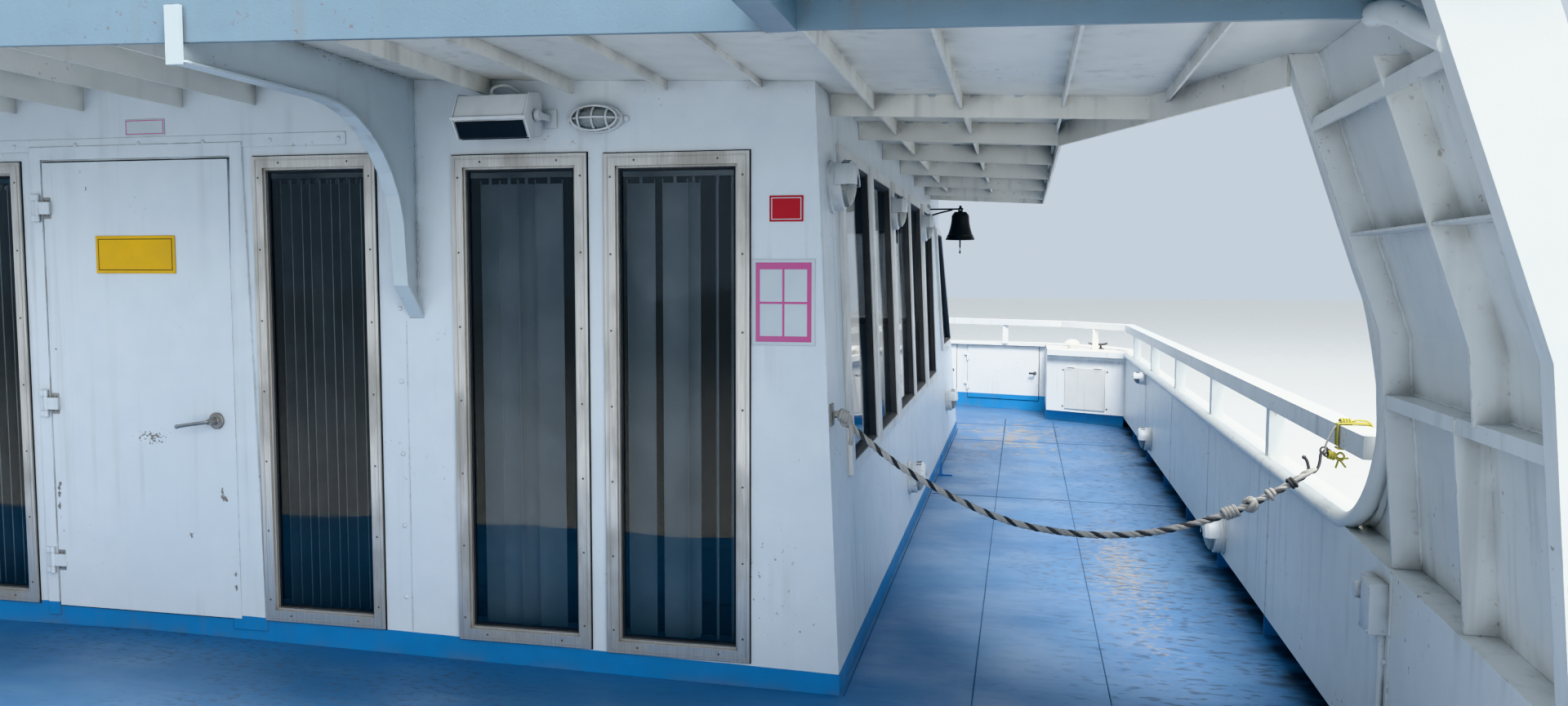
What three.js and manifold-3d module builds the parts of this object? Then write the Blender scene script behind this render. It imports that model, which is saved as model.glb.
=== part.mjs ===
// Deck section of a passenger ferry: one tier of the superstructure, at the deckhouse.
// Millimetres, +X starboard, +Y towards the bow, +Z up. The pieces are drawn with x = 0 on the
// centreline, y = 0 on the aft wall of the deckhouse and z = 0 on the side deck beside the house.
// The whole section is then moved, so that its origin is the centre of its footprint on the floor.

import * as THREE from 'three';
import { mergeVertices } from 'three/addons/utils/BufferGeometryUtils.js';
import Module from 'manifold-3d';

const wasm = await Module();
wasm.setup();

// Driving dimensions

const gap = 0.3;
const sides = [['starboard', 1], ['port', -1]];

const section = { aft: -2200, bow: 10100, shell: 4800, keelLine: -160, beamPitch: 1200, beam: 14 };
const crown = {
  deck: 36, deckFall: 0.012, deckPlate: 20,
  ceiling: 2355, ceilingFall: 0.0375, ceilingPlate: 40,
};
const house = { halfBreadth: 2970, lean: 0.045, wall: 50, aftWall: 60, bow: 7400 };
const bulwark = {
  lining: 4660, cap: 735, drop: 0.05, dropStart: 100, foot: 80, plate: 14, capPlate: 20, end: 8300,
  webs: 8, firstWeb: -1190, webPitch: 1170,
};
const rolledEdge = { x: 4668, radius: 27, start: 110, end: 7850 };
const bow = {
  apex: 9750, curve: 43.4e-6, depth: 350, bay: 970, cap: 770,
  knuckle: [4380, 8830], shoulder: [[4800, 8400], [4500, 9080]], lip: 45, lipDepth: 24,
};
const rail = {
  inner: 4665, outer: 4755, low: 975, high: 1050, posts: 5, firstPost: 1250, pitch: 1500, post: 60,
};
const bowRail = {
  line: [[4665, 7990], [4665, 8060], [4040, 8840], [2730, 9490], [1940, 9700], [970, 9830], [0, 9875]],
  width: 90, low: 985, high: 1050,
  posts: [[4390, 8455, 765], [3420, 9193, 770], [2425, 9615, 770], [1455, 9812, 770], [485, 9900, 770]],
};
const wing = {
  profile: [[4755, 600], [4750, 683], [4690, 1385], [4440, 2128], [4400, 2247]],
  plate: 12, edge: -230, corner: 310, aft: -1500, frame: 10, depth: 78, bead: 24,
  foot: 600, head: 2246,
};
// Frames of the wing: y, foot, head
const wingFrames = [[-475, 600, 2246], [-1000, 600, 1209], [-1120, 1205, 2060]];
const stringers = { levels: [1205, 1670, 2000], lipped: [1205, 2000], depth: 72, plate: 8, lip: 32 };
const column = { aft: -1560, inboard: 90, outboard: 120 };
const fascia = { y: -1200, plate: 15, low: 2232, fall: 0.0245, coaming: 130 };
const girder = { inner: 2970, outer: 3050, low: 2155 };
const overheadEdge = {
  x: 3760, low: 2120, cornerY: 1050, endY: 5000, frontX: 3000, frontY: 5900, apexY: 6100,
  wingX: 4262, wingY: -205, aftX: 4355, aftY: -450, reach: 4412,
};
// Flat bars under the upper deck: the y of those across the passages, the x of those aft of the
// house, and the x and forward end of those along the passages
const flatBar = {
  thick: 10, root: 2165, into: 15, aftLow: 2232,
  across: [300, 1050, 1900, 2770, 3650, 4500, 4990],
  aft: [240, 580, 920, 1610, 1940, 2310, 2670],
  along: [[3040, 4990], [3370, 4990], [3740, 4990], [4090, 225]],
};
// Knee: y and z of the foot of its curve, then the arc's centre and reach, then its toe
const knee = {
  x: 1280, web: 12, flange: 60, plate: 10,
  foot: [[-0.3, 1382], [-112, 1511], [-124, 1635]],
  arc: { y: -124, z: 1660, reach: 480, rise: 483 }, toe: [-1228, 2143],
};

const door = { half: 449, low: 120, high: 2020, thick: 40, proud: 10, clear: 6 };
const doorHinge = { x: -470, y: -20, radius: 9, length: 60, heights: [320, 1000, 1830] };
const lever = { x: 363, z: 949, rose: 26, reach: 150, out: 70, thick: 14 };

// Tall windows of the aft wall, starboard side: inner edge, outer edge, foot, head
const aftWindows = [
  [565, 1113, 122, 2025],
  [1443, 1998, 108, 2011],
  [2066, 2629, 101, 2006],
];
const windowFrame = { width: 46, proud: 12, back: 43, paneFront: 16, paneBack: 22 };
const blind = {
  first: 570, last: 2625, folds: 40, deep: 34, thick: 3, foot: 150, head: 2045, front: 110, behind: 150,
};

// Windows of the side wall: aft edge, forward edge
const sideWindows = [[450, 1150], [1330, 2000], [2200, 2970], [3100, 3790], [4060, 4730]];
const sideSill = 800;
const sideHead = 2020;
const quarterWindow = [[5640, 960], [6560, 960], [5790, 1900], [5330, 1900]];
const sideGlazing = [[400, 760], [6780, 760], [6730, 1000], [5780, 2060], [400, 2060]];
const skin = 12;
const glassPlate = 8;

// Raked front of the house: y, z of its knuckles, and the panes in its sloping face
const rake = [[7400, -60], [7400, 20], [7150, 430], [6880, 1030], [5657, 2388]];
const frontPanes = { count: 4, width: 1180, pitch: 1300, low: 130, high: 1250, margin: 40 };

const cupboard = { bays: [1, 2, 3], halfWidth: 430, low: 110, high: 740, clear: 6, leaf: 14, proud: 8 };
const locker = {
  plan: [[3880, 8330], [4659.7, 7925], [4659.7, 8299], [4379, 8829], [3880, 9096]],
  inside: [[3894, 8360], [4645, 7955], [4645, 8290], [4366, 8815], [3894, 9068]],
  recess: 80, foot: 100, face: 655, lip: 60, top: 765, wall: 14,
};
const hatch = { half: 225, low: 135, high: 575, plate: 8, lap: 20, pin: 7, axis: 583.5, hinges: [-170, 130] };

// Hooded deck lamps: y and z of the middle, and radius
const lamp = { depth: 105, seat: 3, around: 20 };
const wallLamps = [[250, 1890, 98], [2100, 1890, 92], [3925, 1890, 98], [2650, 340, 98], [6000, 440, 98]];
const bulwarkLamps = [[2150, 192, 98], [5500, 215, 98], [6000, 672, 55]];

// Deck socket on the bulwark: x, y and z spans of its box and its lid, and the conduit from the deck
const socket = {
  box: [4608, 4663, -487, -402, 510, 660], lid: [4629, 4663, -395, -325, 543, 657],
  conduit: { x: 4652, y: -460, radius: 9.5, low: 85, high: 515 },
};
const drain = {
  radius: 25, route: [[4410, -1520, 2012], [4390, -1425, 2058], [4368, -1310, 2115], [4360, -1205, 2135]],
};
const mushroom = { x: 4150, y: 8560, neck: 45, head: 80, under: 48, rise: 95 };
const ropeRoute = [
  [2937.5, 62, 1040], [2950, 62, 1040], [2986, 66, 1008], [3046, 76, 953], [3153, 88, 868],
  [3262, 96, 800], [3385, 102, 736], [3506, 105, 684], [3626, 108, 650], [3767, 110, 631],
  [3905, 110, 628], [4041, 110, 642],
  [4153, 110, 668], [4260, 110, 702], [4360, 110, 745], [4450, 110, 796], [4530, 110, 848], [4582, 110, 890],
];
const ropeRadius = 13;
const bell = { x: 3125, y: 4750, lip: 1835, crown: 2050, mouth: 112, arm: 2064.3 };

const deckAt = (x) => crown.deck - crown.deckFall * Math.abs(x);
const ceilingAt = (x) => crown.ceiling - crown.ceilingFall * Math.abs(x);
const houseSideAt = (z) => house.halfBreadth - house.lean * z;
const bowAt = (x) => bow.apex - bow.curve * x * x;
const capAt = (y) => bulwark.cap - bulwark.drop * Math.max(0, bulwark.dropStart - y);
const fasciaAt = (x) => fascia.low - fascia.fall * Math.abs(x);

// Geometry helpers

const extrude = (points, depth) => {
  const shape = new THREE.Shape(points.map(([u, v]) => new THREE.Vector2(u, v)));
  return new THREE.ExtrudeGeometry(shape, { depth, bevelEnabled: false });
};

// Profile of [x, z] points, drawn out from y0 to y1
const alongY = (profile, y0, y1) => extrude(profile, y1 - y0).rotateX(Math.PI / 2).translate(0, y1, 0);

// Turns what is drawn along z to lie along x, with its y upwards
const towardsX = new THREE.Matrix4().makeBasis(
  new THREE.Vector3(0, 1, 0), new THREE.Vector3(0, 0, 1), new THREE.Vector3(1, 0, 0));

// Profile of [y, z] points, drawn out from x0 to x1
const alongX = (profile, x0, x1) => extrude(profile, x1 - x0).applyMatrix4(towardsX).translate(x0, 0, 0);

// Plan of [x, y] points, drawn out from z0 to z1
const alongZ = (plan, z0, z1) => extrude(plan, z1 - z0).translate(0, 0, z0);

const box = (x0, x1, y0, y1, z0, z1) => {
  const size = [x1 - x0, y1 - y0, z1 - z0];
  return new THREE.BoxGeometry(...size).translate((x0 + x1) / 2, (y0 + y1) / 2, (z0 + z1) / 2);
};

const cylinder = (radius, axis, centre, length, segments = 16) => {
  const geometry = new THREE.CylinderGeometry(radius, radius, length, segments);
  if (axis === 'z') geometry.rotateX(Math.PI / 2);
  if (axis === 'x') geometry.rotateZ(Math.PI / 2);
  return geometry.translate(...centre);
};

const tube = (points, radius, segments, steps) => {
  const path = new THREE.CatmullRomCurve3(points.map((p) => new THREE.Vector3(...p)), false, 'centripetal');
  const ring = new THREE.Shape(Array.from({ length: segments }, (_, i) => {
    const turn = (i / segments) * Math.PI * 2;
    return new THREE.Vector2(radius * Math.cos(turn), radius * Math.sin(turn));
  }));
  return new THREE.ExtrudeGeometry(ring, { steps, extrudePath: path, bevelEnabled: false });
};

// Shape turned about an upright spindle at [x, y]: profile of [radius, z] points
const turned = (profile, x, y, segments = 24) => {
  const points = profile.map(([radius, z]) => new THREE.Vector2(radius, z));
  return new THREE.LatheGeometry(points, segments).rotateX(Math.PI / 2).translate(x, y, 0);
};

const toSolid = (geometry) => {
  const bare = geometry.clone();
  for (const name of Object.keys(bare.attributes)) {
    if (name !== 'position') bare.deleteAttribute(name);
  }
  const merged = mergeVertices(bare, 1e-3);
  return new wasm.Manifold(new wasm.Mesh({
    numProp: 3,
    vertProperties: new Float32Array(merged.attributes.position.array),
    triVerts: new Uint32Array(merged.index.array),
  }));
};

const toGeometry = (solid) => {
  const { vertProperties, triVerts } = solid.getMesh();
  const geometry = new THREE.BufferGeometry();
  geometry.setAttribute('position', new THREE.BufferAttribute(vertProperties, 3));
  geometry.setIndex(new THREE.BufferAttribute(triVerts, 1));
  return geometry;
};

const join = (...pieces) => toGeometry(pieces.map(toSolid).reduce((all, next) => all.add(next)));
const cut = (body, ...tools) => {
  return toGeometry(tools.map(toSolid).reduce((left, tool) => left.subtract(tool), toSolid(body)));
};
const common = (a, b) => toGeometry(toSolid(a).intersect(toSolid(b)));

// The same shape on the other side of the centreline
const mirrored = (geometry) => {
  const copy = toGeometry(toSolid(geometry));
  copy.scale(-1, 1, 1);
  const index = copy.index.array;
  for (let i = 0; i < index.length; i += 3) [index[i], index[i + 2]] = [index[i + 2], index[i]];
  return copy;
};
const onSide = (geometry, side) => (side > 0 ? geometry : mirrored(geometry));
const onBothSides = (make) => sides.map(([, side]) => onSide(make(), side));

// Band with the crown of a deck: low and high are heights above its line
const crowned = (height, low, high, y0 = -3000, y1 = 11000) => alongY([
  [-5000, height(5000) + low], [0, height(0) + low], [5000, height(5000) + low],
  [5000, height(5000) + high], [0, height(0) + high], [-5000, height(5000) + high],
], y0, y1);

// The room between the two decks
const tweenDecks = alongY([
  [-5000, deckAt(5000) + gap], [0, deckAt(0) + gap], [5000, deckAt(5000) + gap],
  [5000, ceilingAt(5000) - gap], [0, ceilingAt(0) - gap], [-5000, ceilingAt(5000) - gap],
], -3000, 11000);

// Plan line from starboard to the centreline, carried on to port
const bothHalves = (half) => {
  const other = half.filter(([x]) => x > 0).reverse().map(([x, y]) => [-x, y]);
  return [...half, ...other];
};

// Line beside a plan line that runs from starboard to port round the bow, outwards when by > 0
const parallel = (line, by) => line.map(([x, y], i) => {
  const edges = [[line[i - 1], line[i]], [line[i], line[i + 1]]].filter(([a, b]) => a && b);
  const normals = edges.map(([a, b]) => {
    const length = Math.hypot(b[0] - a[0], b[1] - a[1]);
    return [(b[1] - a[1]) / length, (a[0] - b[0]) / length];
  });
  const [first, last] = [normals[0], normals[normals.length - 1]];
  const stretch = by / (1 + first[0] * last[0] + first[1] * last[1]);
  return [x + (first[0] + last[0]) * stretch, y + (first[1] + last[1]) * stretch];
});

// Places a piece drawn about the middle of a plan edge, x along the edge and y across it, inwards to -y
const onEdge = (geometry, [x0, y0], [x1, y1]) => {
  const turn = Math.atan2(y1 - y0, x1 - x0);
  return geometry.rotateZ(turn).translate((x0 + x1) / 2, (y0 + y1) / 2, 0);
};

// Materials

const paint = (colour, roughness = 0.45) => new THREE.MeshStandardMaterial({ color: colour, roughness });
const metal = (colour, roughness) => (
  new THREE.MeshStandardMaterial({ color: colour, roughness, metalness: 0.85 }));
const clear = { opacity: 0.45, transparent: true };
const finish = {
  white: paint(0xdfe8ef),
  deckBlue: paint(0x4f8fca, 0.6),
  aluminium: metal(0x9a958c, 0.4),
  glass: new THREE.MeshStandardMaterial({ color: 0x27323b, roughness: 0.06, ...clear }),
  blackMetal: metal(0x1c1b1b, 0.5),
  vinyl: paint(0xb9bdb8, 0.7),
  rope: paint(0x9b9588, 0.95),
  galvanised: metal(0x8b8d8c, 0.5),
};

const ferry = new THREE.Group();
const add = (name, geometry, material) => {
  geometry.computeVertexNormals();
  const mesh = new THREE.Mesh(geometry, material);
  mesh.name = name;
  ferry.add(mesh);
};

// Hooded deck lamp that points to starboard, the middle of its back at the origin
const eyelidLamp = (radius) => {
  const { depth, around } = lamp;
  const drum = turned([
    [0, 0], [radius, 0], [radius, 12], [0.93 * radius, 16], [0.93 * radius, 0.5 * depth],
    [0.8 * radius, 0.54 * depth], [0.74 * radius, 0.7 * depth], [0.4 * radius, 0.86 * depth],
    [0, 0.9 * depth],
  ], 0, 0, around);
  const hood = turned([
    [0.9 * radius, 0.3 * depth], [0.96 * radius, 0.3 * depth], [0.96 * radius, 0.8 * depth],
    [0.8 * radius, 0.98 * depth], [0.45 * radius, 1.04 * depth], [0.44 * radius, depth],
    [0.77 * radius, 0.94 * depth], [0.9 * radius, 0.78 * depth], [0.9 * radius, 0.3 * depth],
  ], 0, 0, around);
  const upperHalf = box(-radius, radius, 0, radius, 0, 2 * depth);
  return join(drum, common(hood, upperHalf)).applyMatrix4(towardsX);
};

// Main deck: crowned plating on transverse beams, inside the shell

const bowArc = (ahead) => [4, 3, 2, 1, 0].map((i) => [i * bow.bay, bowAt(i * bow.bay) + ahead]);
const bowInner = bothHalves([[bulwark.lining, bulwark.end + gap], bow.knuckle, ...bowArc(0)]);
const bowOuter = bothHalves([
  [section.shell, bulwark.end + gap], ...bow.shoulder, ...bowArc(bow.depth),
]);

const mainDeck = () => {
  const { shell, aft, keelLine, beamPitch, beam } = section;
  const inset = bulwark.plate + gap;
  const plan = [[-shell + inset, aft], [shell - inset, aft], ...parallel(bowOuter, -inset)];
  const pieces = [crowned(deckAt, -crown.deckPlate, 0)];
  for (let y = aft; y < section.bow; y += beamPitch) {
    pieces.push(alongY([
      [-shell, keelLine], [shell, keelLine], [shell, deckAt(shell) - 10],
      [0, deckAt(0) - 10], [-shell, deckAt(shell) - 10],
    ], y, y + beam));
  }
  return common(join(...pieces), alongZ(plan, keelLine, 200));
};

add('main_deck', mainDeck(), finish.deckBlue);

// Upper deck: crowned plating with its fascia, beams and flat-bar stiffeners underneath

const overheadPlan = () => {
  const { x, endY, cornerY, frontX, frontY, apexY, wingX, wingY } = overheadEdge;
  const [tongueIn, tongueOut, wingOut] = [girder.inner - 20, girder.outer + 20, 4600];
  const half = [
    [tongueIn, fascia.y - fascia.plate], [tongueIn, section.aft], [tongueOut, section.aft],
    [tongueOut, column.aft - 40], [wingOut, column.aft - 40], [wingOut, wingY],
    [wingX, wingY], [x, cornerY], [x, endY], [frontX, frontY],
  ];
  return bothHalves([...half, [0, apexY]]);
};

const overheadEdgeAt = (y) => {
  const { x, wingX, wingY, cornerY } = overheadEdge;
  return x + Math.max(0, ((wingX - x) * (cornerY - y)) / (cornerY - wingY));
};

const upperDeck = () => {
  const plate = common(alongZ(overheadPlan(), 2000, 2500), crowned(ceilingAt, 0, crown.ceilingPlate));
  const { thick, root: rootLevel, into, aftLow } = flatBar;
  const rootX = houseSideAt(rootLevel) + gap;
  const acrossPassage = (y) => {
    const edge = overheadEdgeAt(y);
    return alongY([
      [rootX, rootLevel], [edge, overheadEdge.low],
      [edge, ceilingAt(edge) + into], [rootX, ceilingAt(rootX) + into],
    ], y, y + thick);
  };
  const aftOfHouse = (x) => alongX([
    [-gap, aftLow], [-gap, ceilingAt(x) + into], [fascia.y, ceilingAt(x) + into], [fascia.y, aftLow + 8],
  ], x - thick / 2, x + thick / 2);
  const alongPassage = ([x, end]) => {
    const low = 2185 - (x - girder.inner) * 0.02;
    return box(x - thick / 2, x + thick / 2, fascia.y, end, low, ceilingAt(x) + into);
  };
  const edgeBar = () => {
    const { x, cornerY, endY, aftX, aftY } = overheadEdge;
    const edge = [[aftX, aftY], [x, cornerY], [x, endY]];
    const strip = [...edge, ...edge.map(([u, v]) => [u - 12, v - 6]).reverse()];
    const [near, far] = [3500, 4600];
    return common(alongZ(strip, 2000, 2250), alongY([
      [near, 2125], [far, 2095], [far, ceilingAt(far) + into], [near, ceilingAt(near) + into],
    ], -1000, 6000));
  };
  const tongue = () => (
    box(girder.inner, girder.outer, section.aft, fascia.y - 5, girder.low, ceilingAt(3000) + into));
  const ribs = [
    ...flatBar.across.map((y) => () => acrossPassage(y)), ...flatBar.aft.map((x) => () => aftOfHouse(x)),
    ...flatBar.along.map((bar) => () => alongPassage(bar)), edgeBar, tongue,
  ].flatMap(onBothSides);
  const across = (half, low, high, y0, y1) => alongY([
    [-half, low(half)], [0, low(0)], [half, low(half)], [half, high(half)], [0, high(0)], [-half, high(half)],
  ], y0, y1);
  const fasciaPlate = across(
    overheadEdge.reach, fasciaAt, (x) => ceilingAt(x) + into, fascia.y - fascia.plate, fascia.y);
  const coaming = across(
    girder.inner, (x) => ceilingAt(x) + 10, (x) => ceilingAt(x) + fascia.coaming,
    fascia.y - fascia.plate, fascia.y + 5);
  return join(plate, ...ribs, fasciaPlate, coaming);
};

add('upper_deck', upperDeck(), finish.white);

// Knees between the aft wall and the fascia, each a curved web with a flange along its edge

const kneeCurve = () => {
  const { y, z, reach, rise } = knee.arc;
  const arc = [];
  for (let i = 1; i <= 8; i += 1) {
    const turn = (i / 8) * (Math.PI / 2);
    arc.push([y - reach * (1 - Math.cos(turn)), z + rise * Math.sin(turn)]);
  }
  return [...knee.foot, ...arc, knee.toe];
};

const kneePiece = () => {
  const { x, web, flange, plate, foot, toe } = knee;
  const head = 2300;
  const curve = kneeCurve();
  const notch = fasciaAt(x) - 1;
  const top = ceilingAt(x + web) - gap;
  const fasciaBack = fascia.y - fascia.plate - gap;
  const tail = [
    [toe[0], head], [fasciaBack, head], [fasciaBack, notch],
    [fascia.y + gap, notch], [fascia.y + gap, top], [-gap, top],
  ];
  const webPlate = alongX([...curve, ...tail], x - web / 2, x + web / 2);
  const curveBack = curve.map(([u, v]) => [u + plate * 0.7, v + plate * 0.7]).reverse();
  curveBack[curveBack.length - 1] = [-gap, foot[0][1] + 14];
  const strip = alongX([...curve, ...curveBack], x - flange / 2, x + flange / 2);
  const cap = box(x - 24, x + 24, toe[0] - 10, toe[0] + 4, toe[1] - 7, head);
  return join(webPlate, strip, cap);
};

for (const [name, side] of sides) add(`knee_${name}`, onSide(kneePiece(), side), finish.white);

// Deckhouse walls

const aftWall = () => {
  const slab = common(box(-3000, 3000, 0, house.aftWall, -100, 2500), tweenDecks);
  const [foot, head] = [-100, 2500];
  const outline = alongY([
    [-houseSideAt(foot), foot], [houseSideAt(foot), foot],
    [houseSideAt(head), head], [-houseSideAt(head), head],
  ], -50, 100);
  const { clear: play } = door;
  const doorway = box(-door.half - play, door.half + play, -50, 100, door.low - play, door.high + play);
  const holes = [doorway];
  for (const [inner, outer, low, high] of aftWindows) {
    for (const side of [1, -1]) {
      const [x0, x1] = side > 0 ? [inner, outer] : [-outer, -inner];
      holes.push(box(x0 - gap, x1 + gap, -50, 100, low - gap, high + gap));
    }
  }
  const pins = doorHinge.heights.flatMap((z) => [1, -1].flatMap((end) => {
    const middle = z + end * (doorHinge.length / 2 + 14);
    return [
      cylinder(doorHinge.radius, 'z', [doorHinge.x, doorHinge.y, middle], 26, 10),
      box(doorHinge.x - 30, doorHinge.x + 2, doorHinge.y - 3, 2, middle - 12, middle + 12),
    ];
  }));
  return join(cut(common(slab, outline), ...holes), ...pins);
};

add('house_wall_aft', aftWall(), finish.white);

const sideWall = () => {
  const profile = [
    [houseSideAt(-50), -50], [houseSideAt(2400), 2400],
    [houseSideAt(2400) - house.wall, 2400], [houseSideAt(-50) - house.wall, -50],
  ];
  const slab = common(alongY(profile, house.aftWall + gap, house.bow), tweenDecks);
  const front = alongX([[0, -60], ...rake, [0, 2388]], 2000, 3500);
  const holes = sideWindows.map(([y0, y1]) => box(2500, 3500, y0, y1, sideSill, sideHead));
  holes.push(alongX(quarterWindow, 2500, 3500));
  holes.push(common(alongX(sideGlazing, 2500, 3500), alongY([
    [houseSideAt(700) - 80, 700], [houseSideAt(700) - skin, 700],
    [houseSideAt(2100) - skin, 2100], [houseSideAt(2100) - 80, 2100],
  ], 0, house.bow)));
  const lamps = wallLamps.map(([y, z, radius]) => (
    eyelidLamp(radius).rotateY(-Math.atan(house.lean)).translate(houseSideAt(z) - lamp.seat, y, z)));
  return join(cut(common(slab, front), ...holes), ...lamps);
};

const sideGlass = () => {
  const inset = 5;
  const outline = sideGlazing.map(([y, z]) => [
    y < 1000 ? y + inset : y - 2 * inset, z < 900 ? z + inset : z - inset,
  ]);
  const face = skin + gap;
  return common(alongX(outline, 2500, 3500), alongY([
    [houseSideAt(700) - face - glassPlate, 700], [houseSideAt(700) - face, 700],
    [houseSideAt(2100) - face, 2100], [houseSideAt(2100) - face - glassPlate, 2100],
  ], 0, house.bow));
};

for (const [name, side] of sides) {
  add(`house_wall_${name}`, onSide(sideWall(), side), finish.white);
  add(`side_glazing_${name}`, onSide(sideGlass(), side), finish.glass);
}

// Box on the sloping face of the front: across, out from the face, and up the slope from its foot
const onRake = (x0, x1, t0, t1, s0, s1) => {
  const foot = new THREE.Vector3(0, ...rake[3]);
  const up = new THREE.Vector3(0, ...rake[4]).sub(foot).normalize();
  const out = new THREE.Vector3().crossVectors(up, new THREE.Vector3(1, 0, 0));
  const place = new THREE.Matrix4().makeBasis(new THREE.Vector3(1, 0, 0), out, up).setPosition(foot);
  return box(x0, x1, t0, t1, s0, s1).applyMatrix4(place);
};

const paneSpan = ((frontPanes.count - 1) / 2) * frontPanes.pitch + frontPanes.width / 2 + frontPanes.margin;

const frontWall = () => {
  const { count, width, pitch, low, high, margin } = frontPanes;
  const inner = rake.map(([y, z]) => [y - house.wall * 1.3, z]).reverse();
  const limit = gap + house.wall;
  const between = alongY([
    [-houseSideAt(-60) + limit, -60], [houseSideAt(-60) - limit, -60],
    [houseSideAt(2400) - limit, 2400], [-houseSideAt(2400) + limit, 2400],
  ], 5000, 7600);
  const holes = [onRake(-paneSpan, paneSpan, -90, -skin, low - margin, high + margin)];
  for (let i = 0; i < count; i += 1) {
    const middle = (i - (count - 1) / 2) * pitch;
    holes.push(onRake(middle - width / 2, middle + width / 2, -90, 20, low, high));
  }
  return cut(common(common(alongX([...rake, ...inner], -3000, 3000), between), tweenDecks), ...holes);
};

const frontGlass = () => {
  const { low, high, margin } = frontPanes;
  const [span, reach, face] = [paneSpan - 5, margin - 5, -skin - gap];
  return onRake(-span, span, face - glassPlate, face, low - reach, high + reach);
};

add('house_wall_front', frontWall(), finish.white);
add('front_glazing', frontGlass(), finish.glass);

// Tall windows of the aft wall: a bare metal frame with its pane, and the blinds behind them

aftWindows.forEach(([inner, outer, low, high], index) => {
  const { width, proud, back, paneFront, paneBack } = windowFrame;
  const ring = cut(
    box(inner, outer, -proud, back, low, high),
    box(inner + width, outer - width, -50, 100, low + width, high - width));
  const inset = width + gap;
  const pane = box(inner + inset, outer - inset, paneFront, paneBack, low + inset, high - inset);
  for (const [name, side] of sides) {
    add(`aft_window_frame_${name}_${index + 1}`, onSide(ring, side), finish.aluminium);
    add(`aft_window_pane_${name}_${index + 1}`, onSide(pane, side), finish.glass);
  }
});

const blinds = () => {
  const { first, last, folds, deep, thick, foot, head, front, behind } = blind;
  const edge = Array.from({ length: folds + 1 }, (_, i) => [
    first + (i / folds) * (last - first), front + (i % 2) * deep,
  ]);
  const back = edge.map(([x, y]) => [x, y + thick]).reverse();
  const brackets = [first, last - 40].map((x) => (
    box(x, x + 40, house.aftWall + gap, behind, head - 5, head + 50)));
  const headRail = box(first, last, front - 5, behind, head - 5, head + 25);
  return join(alongZ([...edge, ...back], foot, head), headRail, ...brackets);
};

for (const [name, side] of sides) add(`blinds_${name}`, onSide(blinds(), side), finish.vinyl);

// Aft door with its hinges and lever

const aftDoor = () => {
  const leaf = box(-door.half, door.half, -door.proud, door.thick - door.proud, door.low, door.high);
  const knuckles = doorHinge.heights.flatMap((z) => [
    cylinder(doorHinge.radius, 'z', [doorHinge.x, doorHinge.y, z], doorHinge.length + 2 - 2 * gap, 10),
    box(doorHinge.x - 2, -door.half + 40, doorHinge.y - 3, doorHinge.y + 3, z - 26, z + 26),
    box(-door.half + 4, -door.half + 40, doorHinge.y, -door.proud + 2, z - 26, z + 26),
  ]);
  return join(leaf, ...knuckles);
};

const doorLever = () => {
  const { x, z, rose, reach, out, thick } = lever;
  const face = -door.proud - out;
  return join(
    cylinder(rose, 'y', [x, -door.proud - gap - 5, z], 10, 20),
    cylinder(9, 'y', [x, -door.proud - out / 2, z], out - 12, 12),
    box(x - reach, x + 12, face, face + thick, z - 30, z - 8),
    box(x - 12, x + 12, face, face + thick, z - 30, z + 10));
};

add('aft_door', aftDoor(), finish.white);
add('aft_door_lever', doorLever(), finish.galvanised);

// Bulwark: lining with a freeing gap under it, cap and shell, on webs that stand on the deck

// Posts of the side rail, each as the spans of its box, with so much room round it
const railPosts = (room) => Array.from({ length: rail.posts }, (_, i) => {
  const y = rail.firstPost + i * rail.pitch;
  const reach = rail.post / 2 + room;
  const [inner, outer] = [rail.inner + 10 - room, rail.outer - 15 + room];
  return box(inner, outer, y - reach, y + reach, bulwark.cap + gap - room, rail.low + 5);
});

// Half-round edge along the top of the lining, cut where the rail's posts stand
const topEdge = () => {
  const { x, radius, start, end } = rolledEdge;
  const round = cylinder(radius, 'y', [x, (start + end) / 2, bulwark.cap], end - start, 12);
  return cut(round, ...railPosts(gap));
};

const bulwarkPiece = () => {
  const { lining, plate, capPlate, foot, end, cap, dropStart } = bulwark;
  const { shell, aft, keelLine } = section;
  const line = (drop) => [
    [end + drop, cap - drop], [dropStart, cap - drop], [aft - drop, capAt(aft - drop) - drop],
  ];
  const outer = alongX([[aft, foot], [end, foot], ...line(0)], lining, shell);
  const room = [[aft - capPlate, 0], [end + capPlate, 0], ...line(capPlate)];
  const hollow = alongX(room, lining + plate, shell - plate);
  const pieces = [cut(outer, hollow), box(shell - plate, shell, aft, end, keelLine, foot + 20), topEdge()];
  for (let i = 0; i < bulwark.webs; i += 1) {
    const y = bulwark.firstWeb + i * bulwark.webPitch;
    pieces.push(box(lining + 6, shell - 4, y - 6, y + 6, deckAt(lining) + gap, capAt(y) - 8));
  }
  for (const [y, z, radius] of bulwarkLamps) {
    pieces.push(mirrored(eyelidLamp(radius)).translate(lining + lamp.seat, y, z));
  }
  const { x, y, radius, low, high } = socket.conduit;
  pieces.push(box(...socket.box), box(...socket.lid));
  pieces.push(cylinder(radius, 'z', [x, y, (low + high) / 2], high - low, 8));
  return join(...pieces);
};

for (const [name, side] of sides) add(`bulwark_${name}`, onSide(bulwarkPiece(), side), finish.white);

const sideRail = () => {
  const [aftEnd, bowEnd] = [wing.edge + 60, bowRail.line[0][1] - gap];
  return join(box(rail.inner, rail.outer, aftEnd, bowEnd, rail.low, rail.high), ...railPosts(0));
};

for (const [name, side] of sides) add(`rail_${name}`, onSide(sideRail(), side), finish.white);

// Bow bulwark: a hollow chest that follows the curve of the bow, with cupboard doors in its face

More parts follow.
